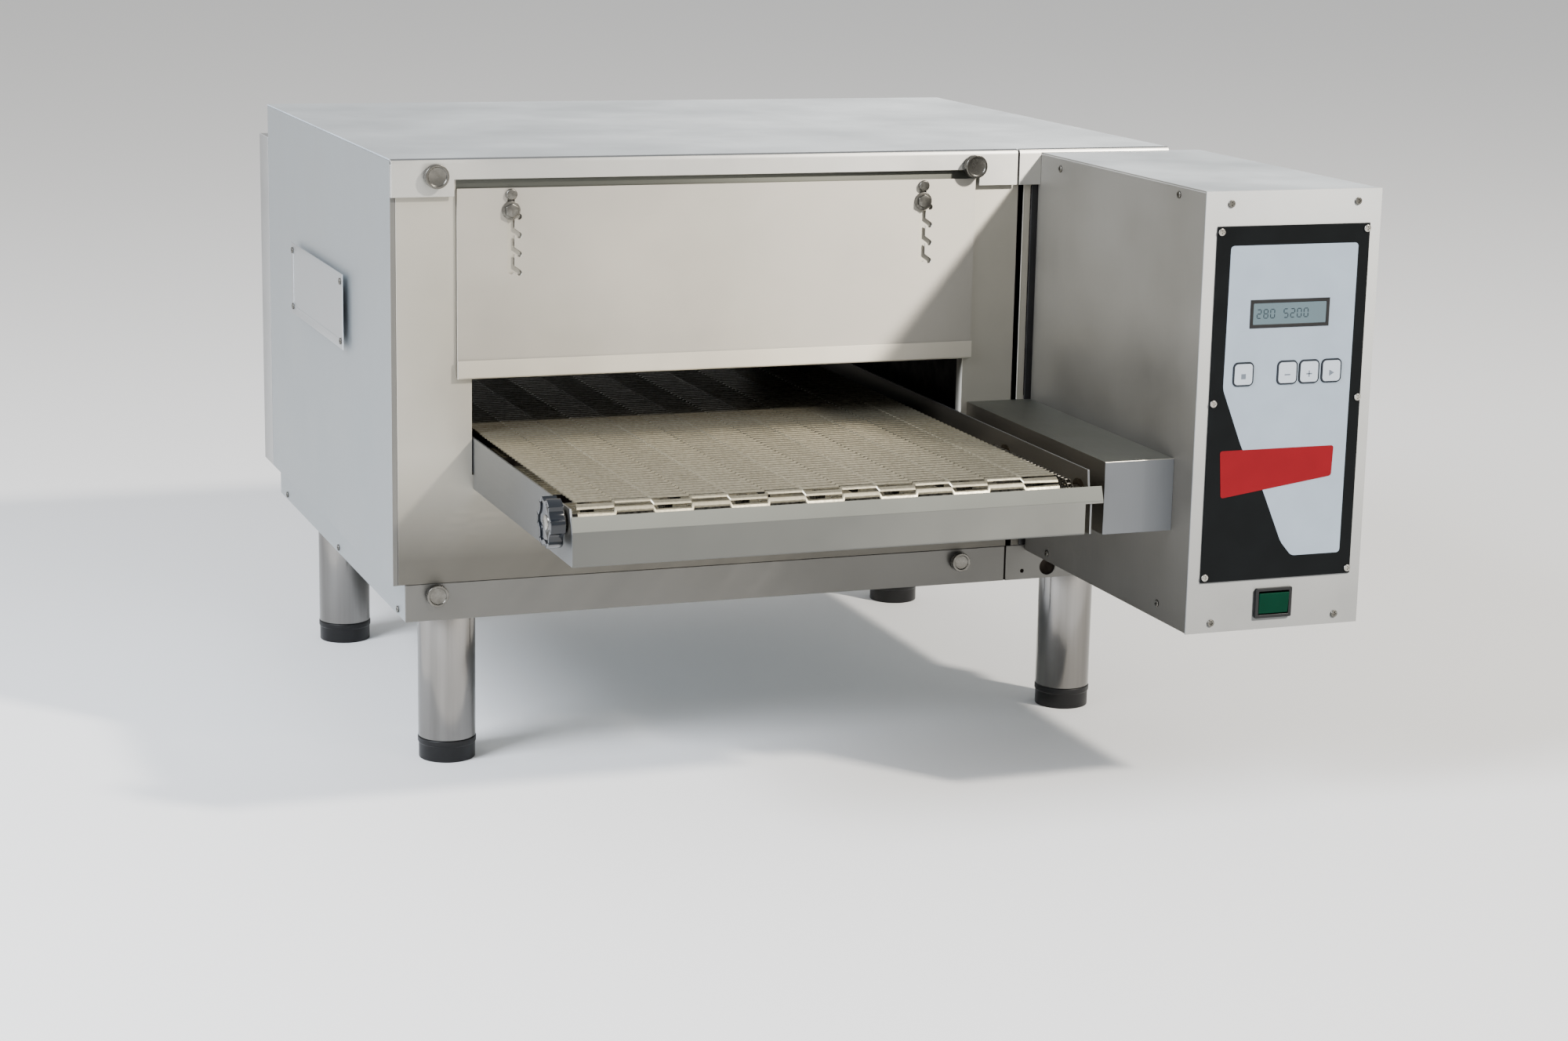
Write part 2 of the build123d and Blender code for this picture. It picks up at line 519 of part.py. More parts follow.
# ---- control box ----
FASCIA_BACK = BOX_FRONT + FASCIA_T
with BuildPart() as control_box_casing:
    slab(BOX_X, (FASCIA_BACK, 0), BOX_Z)
    fillet(control_box_casing.edges().filter_by(Axis.Y), 2)
    slab((BOX_X[0] + SHEET, BOX_X[1] - SHEET), (FASCIA_BACK - 1, -SHEET),
         (BOX_Z[0] + SHEET, BOX_Z[1] - SHEET), Mode.SUBTRACT)
    rod_x((BOX_X[0] - 1, BOX_X[0] + 3), DRIVE_Y, SHAFT_Z, 9, Mode.SUBTRACT)
write(control_box_casing, "control_box_casing")


def front_holes(margin, depth):
    """Cut the display and key holes through a sheet of the control front."""
    with BuildSketch(front_plane(depth[1])) as holes:
        with Locations((sum(DISPLAY_X) / 2, sum(DISPLAY_Z) / 2)):
            Rectangle(DISPLAY_X[1] - DISPLAY_X[0] - 4, DISPLAY_Z[1] - DISPLAY_Z[0] - 4)
        with Locations(*[(x, KEY_Z) for x in KEY_X]):
            RectangleRounded(KEY_W + 2 * margin, KEY_H + 2 * margin, 4)
    extrude(holes.sketch, amount=depth[1] - depth[0], mode=Mode.SUBTRACT)


KEY_MARGIN = 0.4
with BuildPart() as control_front_panel:
    slab(BOX_X, (BOX_FRONT, FASCIA_BACK), BOX_Z)
    front_holes(KEY_MARGIN, (BOX_FRONT - 1, FASCIA_BACK + 1))
    slab((SWITCH_X[0] + 1.8, SWITCH_X[1] - 1.8), (BOX_FRONT - 1, FASCIA_BACK + 1),
         (SWITCH_Z[0] + 1.8, SWITCH_Z[1] - 1.8), Mode.SUBTRACT)
write(control_front_panel, "control_front_panel")

OVERLAY_FRONT = BOX_FRONT - OVERLAY_T
with BuildPart() as control_overlay:
    slab(OVERLAY_X, (OVERLAY_FRONT, BOX_FRONT), OVERLAY_Z)
    front_holes(KEY_MARGIN, (OVERLAY_FRONT - 1, BOX_FRONT + 1))
write(control_overlay, "control_overlay")

with BuildPart() as display_window:
    slab(DISPLAY_X, (OVERLAY_FRONT - 0.6, OVERLAY_FRONT), DISPLAY_Z)
    slab((DISPLAY_X[0] + 2.2, DISPLAY_X[1] - 2.2), (OVERLAY_FRONT, -355),
         (DISPLAY_Z[0] + 2.2, DISPLAY_Z[1] - 2.2))
write(display_window, "display_window")

for number, key_x in enumerate(KEY_X, start=1):
    with BuildPart() as key:
        with BuildSketch(front_plane(-357)):
            with Locations((key_x, KEY_Z)):
                RectangleRounded(KEY_W, KEY_H, 3.6)
        extrude(amount=-357 - KEY_FRONT)
        fillet(key.faces().sort_by(Axis.Y)[0].edges(), 0.5)
    write(key, f"key_{number}")

with BuildPart() as control_board:
    slab((700, 828), (-350, -348.4), (255, 350))
    for key_x in KEY_X:
        rod_y(key_x, (-356, -350), KEY_Z, 3.5)
    slab((727, 798), (-354.5, -350), (323, 341.5))
write(control_board, "control_board")

POCKET = 3.2
with BuildPart() as power_switch_housing:
    slab(SWITCH_X, (SWITCH_FRONT, BOX_FRONT), SWITCH_Z)
    fillet(power_switch_housing.edges().filter_by(Axis.Y), 1.5)
    slab((SWITCH_X[0] + 2, SWITCH_X[1] - 2), (BOX_FRONT, -335), (SWITCH_Z[0] + 2, SWITCH_Z[1] - 2))
    slab((SWITCH_X[0] + POCKET, SWITCH_X[1] - POCKET), (SWITCH_FRONT - 1, -348),
         (SWITCH_Z[0] + POCKET, SWITCH_Z[1] - POCKET), Mode.SUBTRACT)
write(power_switch_housing, "power_switch_housing")

ROCKER_Z = sum(SWITCH_Z) / 2
with BuildPart() as power_rocker:
    with BuildSketch(side_plane(SWITCH_X[0] + POCKET + GAP)):
        with Locations(Location((ROCKER_PIVOT_Y, ROCKER_Z, 0), (0, 0, ROCKER_TILT))):
            Polygon((-ROCKER_FACE, -ROCKER_HALF), (9, -6.5), (9, 6.5), (-ROCKER_FACE, ROCKER_HALF),
                    align=None)
    extrude(amount=SWITCH_X[1] - SWITCH_X[0] - 2 * (POCKET + GAP))
write(power_rocker, "power_rocker")

with BuildPart() as control_screws:
    for screw_x in (687.5, 839.5):
        for screw_z in (409.0, 250.0, 85.0):
            screw_head((0, -1, 0), (screw_x, OVERLAY_FRONT, screw_z), 3.2)
    for screw_x in (697.0, 829.0):
        for screw_z in (434.5, 40.5):
            screw_head((0, -1, 0), (screw_x, BOX_FRONT, screw_z), SMALL_HEAD_R)
write(control_screws, "control_screws")

with BuildPart() as gearmotor:
    slab((676, 726), (DRIVE_Y - 35, DRIVE_Y + 35), (SHAFT_Z - 35, SHAFT_Z + 35))
    rod_x((726, 810), DRIVE_Y, SHAFT_Z, 32)
    rod_x((670, 700), DRIVE_Y, SHAFT_Z, SHAFT_R + RUNNING, Mode.SUBTRACT)
write(gearmotor, "gearmotor")
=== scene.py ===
# %% [markdown]
# # A countertop conveyor pizza oven
# A wire belt carries the pizza through a hot tunnel. The working design, with every plate, shaft and
# screw in its place, arrives as a fixed frame. This script gives each piece the edges, wires, prints
# and metal finishes of the real oven, and leaves sizes and places to the frame.

# %% Load the frame
import math
import bmesh
import bpy
from mathutils import Matrix, Vector


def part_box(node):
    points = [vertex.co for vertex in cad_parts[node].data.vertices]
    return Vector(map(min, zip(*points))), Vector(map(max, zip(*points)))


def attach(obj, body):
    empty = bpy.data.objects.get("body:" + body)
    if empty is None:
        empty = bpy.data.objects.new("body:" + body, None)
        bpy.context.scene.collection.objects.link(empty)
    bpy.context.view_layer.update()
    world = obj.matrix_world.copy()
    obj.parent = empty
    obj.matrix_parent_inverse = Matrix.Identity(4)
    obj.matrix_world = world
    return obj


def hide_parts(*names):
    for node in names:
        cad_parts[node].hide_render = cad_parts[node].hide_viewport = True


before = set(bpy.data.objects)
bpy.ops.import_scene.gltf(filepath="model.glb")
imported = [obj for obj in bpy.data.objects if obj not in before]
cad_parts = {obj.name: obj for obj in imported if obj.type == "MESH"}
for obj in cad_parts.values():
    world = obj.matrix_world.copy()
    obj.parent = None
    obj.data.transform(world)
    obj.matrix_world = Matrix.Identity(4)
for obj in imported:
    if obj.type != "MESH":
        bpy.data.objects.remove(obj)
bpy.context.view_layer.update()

# %% [markdown]
# ## One set of measures
# Oven makers measure from the casing: x from its left wall, y back from its front panel and z up from
# its underside, in millimetres. Blender counts in metres from the middle of the oven, so one function
# turns the first into the second. The corner comes from the frame's own boxes.

# %% Casing measures
MM = 0.001
casing_corner = Vector((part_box("left_casing")[0][0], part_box("front_panel")[0][1],
                        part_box("base_tray")[0][2]))


def at(x, y, z):
    """A point in casing millimetres, as a Blender place."""
    return casing_corner + Vector((x, y, z)) * MM


def mm_box(node):
    """A node's limits in casing millimetres, as (x, y, z) pairs."""
    low, high = (Vector(corner) - casing_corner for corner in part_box(node))
    return [(low[i] / MM, high[i] / MM) for i in range(3)]


print("casing corner:", tuple(round(v, 4) for v in casing_corner))

# %% [markdown]
# ## Camera
# A short telephoto lens from the front left, a little above the oven's top, shows the belt, the gate
# and the control front together. The camera is a plain object: its three axes are written as the
# columns of a matrix, which leaves no doubt about the order of turns.

# %% Camera
CAMERA_AZIMUTH, CAMERA_ELEVATION, CAMERA_ROLL = map(math.radians, (-20.72, 12.44, 1.19))
CAMERA_PLACE = at(-640.4, -2797.8, 744.6)
SENSOR_MM, LENS_MM, LENS_SHIFT, FAR_CLIP = 36, 69.5, (-0.0093, -0.0043), 60
sin_a, cos_a = math.sin(CAMERA_AZIMUTH), math.cos(CAMERA_AZIMUTH)
sin_e, cos_e = math.sin(CAMERA_ELEVATION), math.cos(CAMERA_ELEVATION)
back = Vector((sin_a * cos_e, -cos_a * cos_e, sin_e))
level_right = Vector((cos_a, sin_a, 0))
level_up = back.cross(level_right)
right = level_right * math.cos(CAMERA_ROLL) + level_up * math.sin(CAMERA_ROLL)
up = level_up * math.cos(CAMERA_ROLL) - level_right * math.sin(CAMERA_ROLL)

bpy.ops.object.camera_add(location=CAMERA_PLACE)
camera = bpy.context.object
camera.name = "camera"
camera.rotation_euler = Matrix((right, up, back)).transposed().to_euler()
camera.data.sensor_width, camera.data.lens = SENSOR_MM, LENS_MM
camera.data.shift_x, camera.data.shift_y = LENS_SHIFT
camera.data.clip_end = FAR_CLIP
bpy.context.scene.camera = camera
print("camera at", [round(v, 3) for v in CAMERA_PLACE], "with a lens of", LENS_MM, "mm")

# %% [markdown]
# ## Materials: the helpers
# A colour picked on a screen is sRGB, while a renderer adds light in linear numbers, so one function
# turns the first into the second. Another adds a node with its settings, values and links. Two short
# ones make the patterns: noise whose spots have a real size, and a step that spreads the noise between
# two colours or two roughnesses.

# %% Colour and node helpers
NOISE_LOW, NOISE_HIGH = 0.3, 0.7


def linear(hex_colour):
    """An sRGB colour such as #C8C6BE, as opaque linear RGBA."""
    channels = [int(hex_colour[i:i + 2], 16) / 255 for i in (1, 3, 5)]
    return tuple(c / 12.92 if c <= 0.04045 else ((c + 0.055) / 1.055) ** 2.4 for c in channels) + (1.0,)


def fill(node, **inputs):
    """Gives inputs a value or another node's output; _0 is the first input, and _ stands for a space."""
    for name, value in inputs.items():
        socket = node.inputs[int(name[1:])] if name[0] == "_" else node.inputs[name.replace("_", " ")]
        if isinstance(value, bpy.types.NodeSocket):
            node.id_data.links.new(value, socket)
        else:
            socket.default_value = value


def add_node(material, kind, settings=None, **inputs):
    """Adds a node. A setting is a property of the node, and the inputs are filled."""
    node = material.node_tree.nodes.new(kind)
    for name, value in (settings or {}).items():
        setattr(node, name, value)
    fill(node, **inputs)
    return node


def new_material(name):
    """An empty material with its shader, ready for a pattern."""
    material = bpy.data.materials.new(name)
    material.use_nodes = True
    return material, material.node_tree.nodes["Principled BSDF"]


def noise(material, coords, size_mm, detail, roughness=0.5):
    """Noise whose spots are about size_mm across."""
    return add_node(material, "ShaderNodeTexNoise", Vector=coords, Scale=1 / (size_mm * MM), Detail=detail,
                    Roughness=roughness).outputs[0]


def between(material, value, low, high):
    """Spreads the usual range of a noise from low to high, which are two numbers or two colours."""
    if isinstance(low, Vector):
        return add_node(material, "ShaderNodeMapRange", {"data_type": "FLOAT_VECTOR"}, Vector=value,
                        _7=(NOISE_LOW,) * 3, _8=(NOISE_HIGH,) * 3, _9=low, _10=high).outputs[1]
    return add_node(material, "ShaderNodeMapRange", Value=value, From_Min=NOISE_LOW, From_Max=NOISE_HIGH,
                    To_Min=low, To_Max=high).outputs[0]


# %% [markdown]
# ## Brushed stainless steel
# Most of the oven is stainless sheet with a brushed finish: an abrasive belt leaves fine scratches all
# in one direction, which blur reflections across the grain. The grain is noise stretched forty times
# along one axis. It drives a small bump and a small change of roughness. Broad soft noise adds the
# faint clouding that hands and cleaning leave. A real scratch is about 0.05 mm wide, too fine to show,
# so the grain here is about 0.6 mm.
# Low on the oven, sheet gets less light, so some finishes carry a painted shade that grows darker towards
# the bottom.

# %% Brushed steel
GRAIN_MM, CLOUD_MM, STRETCH = 0.6, 130.0, 40.0
STREAKING, METAL_SHARE, GRAIN_BUMP, BUMP_MM = 0.85, 0.92, 0.10, 0.2


def brushed_steel(name, hex_colour, along, roughness=0.42, cloud=0.07, painted_shade=None):
    """Stainless sheet brushed along x, y or z, with an optional painted shade: (low z, high z, share of
    colour left at low z).
    """
    material, shader = new_material(name)
    coords = add_node(material, "ShaderNodeTexCoord").outputs["Object"]
    squeeze = [1.0 / STRETCH if axis == along else 1.0 for axis in "xyz"]
    stretched = add_node(material, "ShaderNodeMapping", Vector=coords, Scale=squeeze).outputs[0]
    scratches = noise(material, stretched, GRAIN_MM, 3.0, 0.7)
    clouds = noise(material, coords, CLOUD_MM, 4.0, 0.55)
    base = Vector(linear(hex_colour)[:3])
    tint = between(material, clouds, base * (1 - cloud), base * (1 + cloud * 0.6))
    # Painted shade: the colour is scaled down towards the bottom of the piece.
    if painted_shade:
        low_z, high_z, shade_left = painted_shade
        height = add_node(material, "ShaderNodeSeparateXYZ", Vector=coords).outputs[2]
        share = add_node(material, "ShaderNodeMapRange", Value=height, From_Min=at(0, 0, low_z).z,
                         From_Max=at(0, 0, high_z).z, To_Min=shade_left, To_Max=1.0).outputs[0]
        tint = add_node(material, "ShaderNodeVectorMath", {"operation": "SCALE"}, Vector=tint,
                        Scale=share).outputs[0]
    rough = add_node(material, "ShaderNodeMath", {"operation": "MULTIPLY_ADD"}, _0=scratches, _1=0.10,
                     _2=between(material, clouds, roughness - 0.05, roughness + 0.06)).outputs[0]
    relief = add_node(material, "ShaderNodeBump", Strength=GRAIN_BUMP, Distance=BUMP_MM * MM,
                      Height=scratches).outputs[0]
    # The tangent lies across the grain, so highlights spread that way, as they do on real brushed sheet.
    grain_way = [1.0 if axis == along else 0.02 for axis in "xyz"]
    normal = add_node(material, "ShaderNodeNewGeometry").outputs["Normal"]
    across = add_node(material, "ShaderNodeVectorMath", {"operation": "CROSS_PRODUCT"}, _0=normal,
                      _1=grain_way).outputs[0]
    fill(shader, Base_Color=tint, Roughness=rough, Normal=relief, Tangent=across, Anisotropic=STREAKING,
         Metallic=METAL_SHARE)
    return material


# Painted shade: the front, the control box wall and the fascia darken towards the bottom.
SHADE_BELOW_MOUTH = (60, 165, 0.33)
STEEL_FRONT = brushed_steel("brushed_stainless_front", "#BDB9AE", "x", 0.44, painted_shade=SHADE_BELOW_MOUTH)
STEEL_GATE = brushed_steel("brushed_stainless_gate", "#B8B4AB", "x", 0.45)
# A lighter copy, as a painted highlight on the gate's lip and the drive cover's top front edge.
STEEL_HIGHLIGHT = brushed_steel("brushed_stainless_painted_highlight", "#DCD6C8", "x", 0.38)
STEEL_RAIL = brushed_steel("brushed_stainless_rail", "#C4C3BE", "x", 0.38)
STEEL_SIDE = brushed_steel("brushed_stainless_side", "#C3CACE", "y", 0.44)
STEEL_BADGE = brushed_steel("brushed_stainless_badge", "#CDD0D2", "y", 0.42)
STEEL_TOP = brushed_steel("brushed_stainless_top", "#ABB1B6", "x", 0.44, cloud=0.04)
STEEL_LID = brushed_steel("brushed_stainless_box_top", "#969CA1", "x", 0.44)
STEEL_REAR = brushed_steel("brushed_stainless_rear", "#B4B4B2", "x", 0.42)
# The base and the tray are darker copies of the steel, as painted shade low on the oven.
STEEL_BASE = brushed_steel("brushed_stainless_base", "#7B7A76", "x", 0.42)
STEEL_TRAY = brushed_steel("brushed_stainless_tray", "#636461", "x", 0.38)
STEEL_TRAY_SIDE = brushed_steel("brushed_stainless_tray_side", "#868889", "y", 0.38)
STEEL_BOX = brushed_steel("brushed_stainless_box", "#84827C", "z", 0.44, painted_shade=(30, 320, 0.34))
STEEL_FASCIA = brushed_steel("brushed_stainless_fascia", "#949696", "x", 0.42, painted_shade=(30, 440, 0.6))
STEEL_BAND = brushed_steel("brushed_stainless_apron_fold", "#74756E", "y", 0.5)
STEEL_COVER = brushed_steel("brushed_stainless_cover", "#75787B", "z", 0.42)
# A darker copy for the drive cover's top, as painted shade.
STEEL_COVER_TOP = brushed_steel("brushed_stainless_cover_top", "#63655F", "y", 0.48)
# A dark copy for the strip of painted shadow under the top rail.
STEEL_SHADOW_STRIP = brushed_steel("painted_shadow_strip", "#65665F", "x", 0.5)
# Painted shade for the faces that look into the belt's channel.
STEEL_SHADED = brushed_steel("painted_channel_shade_steel", "#5A554B", "y", 0.46)

# %% [markdown]
# ## Other metals
# The legs are polished tube: almost a mirror, with long faint marks down the tube. The thumb knobs are
# turned stainless, a little softer. Most screws are zinc that heat and grease have turned grey; the few
# in the control front and the cap of the belt knob are nickel plated, and brighter. Sheet inside the
# oven has been heated until it went brown and rough, and the belt wire has turned straw-coloured from
# the same heat, with some baked oil on it.
# The same dark brown finish is painted shade on the front of the base tray, seen through the base plate.

# %% Other metals
def marked_metal(name, hex_colour, dark_hex, roughness, spread, mark_mm, squeeze=(1, 1, 1), metallic=1.0,
                 bump=0.1):
    """A metal whose marks change both its colour and its roughness."""
    material, shader = new_material(name)
    coords = add_node(material, "ShaderNodeTexCoord").outputs["Object"]
    mapped = add_node(material, "ShaderNodeMapping", Vector=coords, Scale=squeeze).outputs[0]
    marks = noise(material, mapped, mark_mm, 5.0, 0.6)
    ramp = add_node(material, "ShaderNodeValToRGB", Fac=marks)
    for stop, place, colour in zip(ramp.color_ramp.elements, (0.35, 0.62), (dark_hex, hex_colour)):
        stop.position, stop.color = place, linear(colour)
    rough = between(material, marks, roughness + spread, roughness)
    relief = add_node(material, "ShaderNodeBump", Strength=bump, Distance=BUMP_MM * MM,
                      Height=marks).outputs[0]
    fill(shader, Base_Color=ramp.outputs[0], Roughness=rough, Normal=relief, Metallic=metallic)
    return material


POLISHED_TUBE = marked_metal("polished_stainless_tube", "#858380", "#787673", 0.12, 0.06, 14, (1, 1, 0.03))
TURNED_KNOB = marked_metal("turned_stainless_knob", "#6C6A65", "#5E5C57", 0.24, 0.08, 6)
PLATED = marked_metal("nickel_plated_steel", "#A8A69F", "#8E8B84", 0.22, 0.1, 4)
DULL_SCREW = marked_metal("weathered_zinc_screw", "#716F69", "#54524D", 0.28, 0.12, 3)
# Heat-browned inside the oven; on the base tray's front it is painted shade.
HEAT_BROWN_AND_SHADE = marked_metal("heat_browned_and_shade_painted_steel", "#2B2622", "#161310", 0.55, 0.2, 25, bump=0.3)
BELT_WIRE = marked_metal("heat_tinted_belt_wire", "#9C9683", "#827C6A", 0.3, 0.12, 3, metallic=0.85)
CHAIN_STEEL = marked_metal("oiled_chain_steel", "#77736A", "#26241F", 0.28, 0.2, 4)
CAST_METAL = marked_metal("cast_aluminium", "#A9A9A7", "#8D8D8B", 0.45, 0.15, 2, metallic=0.9)
BRONZE = marked_metal("oiled_sintered_bronze", "#3E3527", "#241F18", 0.45, 0.15, 2)

# %% [markdown]
# ## Plastics, film and glass
# Moulded polyamide has a fine spark-eroded texture, so it is mostly rough, with bumps half a millimetre
# across. The belt knob is a glossy thermoset. The control front is a polyester film, printed on its
# back: smooth, with a faint orange peel. The display window is hard and smooth, and reflects sharply.

# %% Plastics, film and glass
SMUDGE_MM, TEXTURE_MM = 30, 0.1
FILM = {"roughness": 0.4, "texture_mm": 0.8, "bump": 0.06}
PRINT = {"roughness": 0.5, "texture_mm": 0.5, "bump": 0.05, "specular": 0.1}


def moulded(name, hex_colour, roughness, texture_mm=0.5, bump=0.15, coat=0.0, specular=0.5, variation=0.12):
    """A plastic with the fine surface texture of its mould."""
    material, shader = new_material(name)
    coords = add_node(material, "ShaderNodeTexCoord").outputs["Object"]
    texture = noise(material, coords, texture_mm, 2.0)
    smudge = noise(material, coords, SMUDGE_MM, 3.0)
    base = Vector(linear(hex_colour)[:3])
    tint = between(material, smudge, base * (1 - variation), base * (1 + variation))
    rough = between(material, smudge, roughness * 0.85, min(1.0, roughness * 1.2))
    relief = add_node(material, "ShaderNodeBump", Strength=bump, Distance=TEXTURE_MM * MM,
                      Height=texture).outputs[0]
    fill(shader, Base_Color=tint, Roughness=rough, Normal=relief, Coat_Weight=coat,
         Specular_IOR_Level=specular)
    return material


BLACK_POLYAMIDE = moulded("moulded_black_polyamide", "#0D0D0E", 0.4, specular=0.3)
BLACK_THERMOSET = moulded("glossy_blue_black_thermoset", "#0A0F15", 0.14, 1.5, 0.05, coat=0.3,
                          specular=0.35)
BLACK_FILM = moulded("printed_polyester_film_black", "#0C0E0F", specular=0.06, **FILM)
SILVER_FILM = moulded("printed_polyester_film_silver", "#8995A1", specular=0.2, variation=0.04, **FILM)
RED_FILM = moulded("printed_polyester_film_red", "#6C0913", specular=0.1, variation=0.05, **FILM)
PALE_FILM = moulded("printed_polyester_film_pale", "#A3ABB4", specular=0.2, variation=0.03, **FILM)
INK = moulded("screen_printed_ink", "#22262B", **PRINT)
GREY_INK = moulded("screen_printed_grey_ink", "#5D646D", **PRINT)
GREEN_LENS = moulded("green_polycarbonate_lens", "#012A1C", 0.35, 3.0, 0.03, specular=0.04)
WOOL = moulded("pressed_mineral_wool", "#B7A77E", 0.95, 2.0, 0.8)
LAMINATE = moulded("green_glass_epoxy", "#1E5A35", 0.4, 1.0, 0.1)
LCD_FIELD = moulded("liquid_crystal_field", "#46585F", 0.15, 1.0, 0.02, specular=0.4, variation=0.03)
LCD_DIGITS = moulded("liquid_crystal_digits", "#1E2A31", 0.3, 1.0, 0.02, specular=0.2)

# %% [markdown]
# ## Pieces that come straight from sheet metal
# A folded sheet never has a knife edge: cutting and folding leave it about half a millimetre round, and
# that edge is what catches the light. The frame's plates have the right shape, so each visible one is
# copied, its loose triangles are merged and cleared to plain faces, and a Bevel modifier rounds its
# edges. The copy then stands in for the plate.

# %% Rounded copies of plates
def select_only(obj):
    """Makes one object the only selected and the active one."""
    bpy.ops.object.select_all(action="DESELECT")
    obj.select_set(True)
    bpy.context.view_layer.objects.active = obj


def apply_all(obj):
    """Applies every modifier of an object."""
    select_only(obj)
    for modifier in list(obj.modifiers):
        bpy.ops.object.modifier_apply(modifier=modifier.name)


def bevel_edges(obj, width_mm, segments=3, angle=40):
    """Rounds the sharp edges of a piece with a Bevel modifier."""
    edges = obj.modifiers.new("rounded edges", "BEVEL")
    edges.width, edges.segments = width_mm * MM, segments
    edges.limit_method, edges.angle_limit = "ANGLE", math.radians(angle)
    apply_all(obj)


def linked(name, data):
    """Puts a mesh or a curve into the scene as an object."""
    obj = bpy.data.objects.new(name, data)
    bpy.context.collection.objects.link(obj)
    return obj


def finished(obj, material, body="oven_body", smooth_angle=35):
    """Places a finished piece: its material, its body and its smooth shading."""
    select_only(obj)
    bpy.ops.object.transform_apply(location=True, rotation=True, scale=True)
    bpy.ops.object.shade_smooth_by_angle(angle=math.radians(smooth_angle))
    obj.data.materials.clear()
    obj.data.materials.append(material)
    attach(obj, body)
    return obj


SHEET_ANGLE, SHEET_EDGE = 50, 0.45


def rounded_copy(node, material, edge_mm, body="oven_body", segments=2):
    """A plate from the frame with its edges rounded."""
    piece = linked(node + "_sheet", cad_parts[node].data.copy())
    select_only(piece)
    bpy.ops.object.mode_set(mode="EDIT")
    bpy.ops.mesh.select_all(action="SELECT")
    bpy.ops.mesh.remove_doubles(threshold=0.01 * MM)
    bpy.ops.mesh.dissolve_limited(angle_limit=math.radians(1))
    bpy.ops.mesh.normals_make_consistent(inside=False)
    bpy.ops.object.mode_set(mode="OBJECT")
    bevel_edges(piece, edge_mm, segments, SHEET_ANGLE)
    finished(piece, material, body, SHEET_ANGLE)
    flatten = piece.modifiers.new("flat faces stay flat", "WEIGHTED_NORMAL")
    flatten.keep_sharp = True
    apply_all(piece)
    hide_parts(node)
    return piece


PLATES = {
    "left_casing": STEEL_SIDE, "right_casing": STEEL_SIDE, "top_cover": STEEL_TOP, "rear_panel": STEEL_REAR,
    "rear_cover": STEEL_REAR, "front_panel": STEEL_FRONT, "right_front_panel": STEEL_FRONT,
    "base_tray": STEEL_SIDE, "front_base_rail": STEEL_BASE, "right_base_plate": STEEL_BASE,
    "top_front_rail": STEEL_RAIL, "right_top_rail": STEEL_RAIL, "conveyor_left_plate": STEEL_TRAY_SIDE,
    "conveyor_right_plate": STEEL_TRAY_SIDE, "front_apron": STEEL_TRAY, "drive_cover": STEEL_COVER,
    "exit_chute": STEEL_TRAY, "control_box_casing": STEEL_BOX, "control_front_panel": STEEL_FASCIA,
}
for plate_name, steel in PLATES.items():
    sheet_piece = rounded_copy(plate_name, steel, SHEET_EDGE)
    print(plate_name, len(sheet_piece.data.polygons), "faces")
rounded_copy("gate", STEEL_GATE, 0.4, "gate")
rounded_copy("control_overlay", BLACK_FILM, 0.3)
rounded_copy("cable_gland", BLACK_POLYAMIDE, 0.6)


def recolour(obj, material, keep):
    """Gives a second material to the faces whose centre and normal pass a test."""
    obj.data.materials.append(material)
    for face in obj.data.polygons:
        if keep(face.center, face.normal):
            face.material_index = len(obj.data.materials) - 1


# Painted shade darkens the faces that look into the belt's channel, the drive cover's top, the front of the
# base tray seen through the base plate, and the rails' top flanges at the seam under the top cover. A
# lighter copy paints a highlight on the gate's lip and on the drive cover's top front edge. A folded
# sheet turns its grain at every fold, so the faces beyond a fold need a finish of their own.
CHANNEL_FRONT_Y, GATE_LIP_Y = at(0, -318, 0).y, at(0, -5.5, 0).y
RECOLOURED = (
    ("conveyor_left_plate_sheet", STEEL_SHADED, lambda centre, normal: normal.x > 0.7),
    ("conveyor_right_plate_sheet", STEEL_SHADED, lambda centre, normal: abs(normal.x) > 0.7),
    ("drive_cover_sheet", STEEL_SHADED,
     lambda centre, normal: normal.x < -0.7 and centre.y > CHANNEL_FRONT_Y),
    ("drive_cover_sheet", STEEL_COVER_TOP, lambda centre, normal: normal.z > 0.9),
    ("drive_cover_sheet", STEEL_HIGHLIGHT, lambda centre, normal: normal.z > 0.3 and normal.y < -0.3),
    ("front_apron_sheet", STEEL_BAND, lambda centre, normal: normal.z > 0.15 and normal.y < -0.1),
    ("left_casing_sheet", STEEL_BASE, lambda centre, normal: normal.y < -0.7),
    # Painted shade: the rails' top flanges are darker, for the seam under the top cover.
    ("top_front_rail_sheet", STEEL_TRAY_SIDE, lambda centre, normal: normal.z > 0.8),
    ("right_top_rail_sheet", STEEL_TRAY_SIDE, lambda centre, normal: normal.z > 0.8),
    ("control_box_casing_sheet", STEEL_LID, lambda centre, normal: normal.x > -0.3),
    ("base_tray_sheet", HEAT_BROWN_AND_SHADE, lambda centre, normal: normal.y < -0.7),
    ("gate_sheet", STEEL_HIGHLIGHT, lambda centre, normal: centre.y < GATE_LIP_Y and normal.y < -0.7),
)
for sheet_name, steel, keep in RECOLOURED:
    recolour(bpy.data.objects[sheet_name], steel, keep)

# %% [markdown]
# ## Pieces that keep the frame's own shape
# Parts hidden in the oven, and a few small ones, need a true material but no more shape than they have.
# Their materials are set on the frame's own objects.

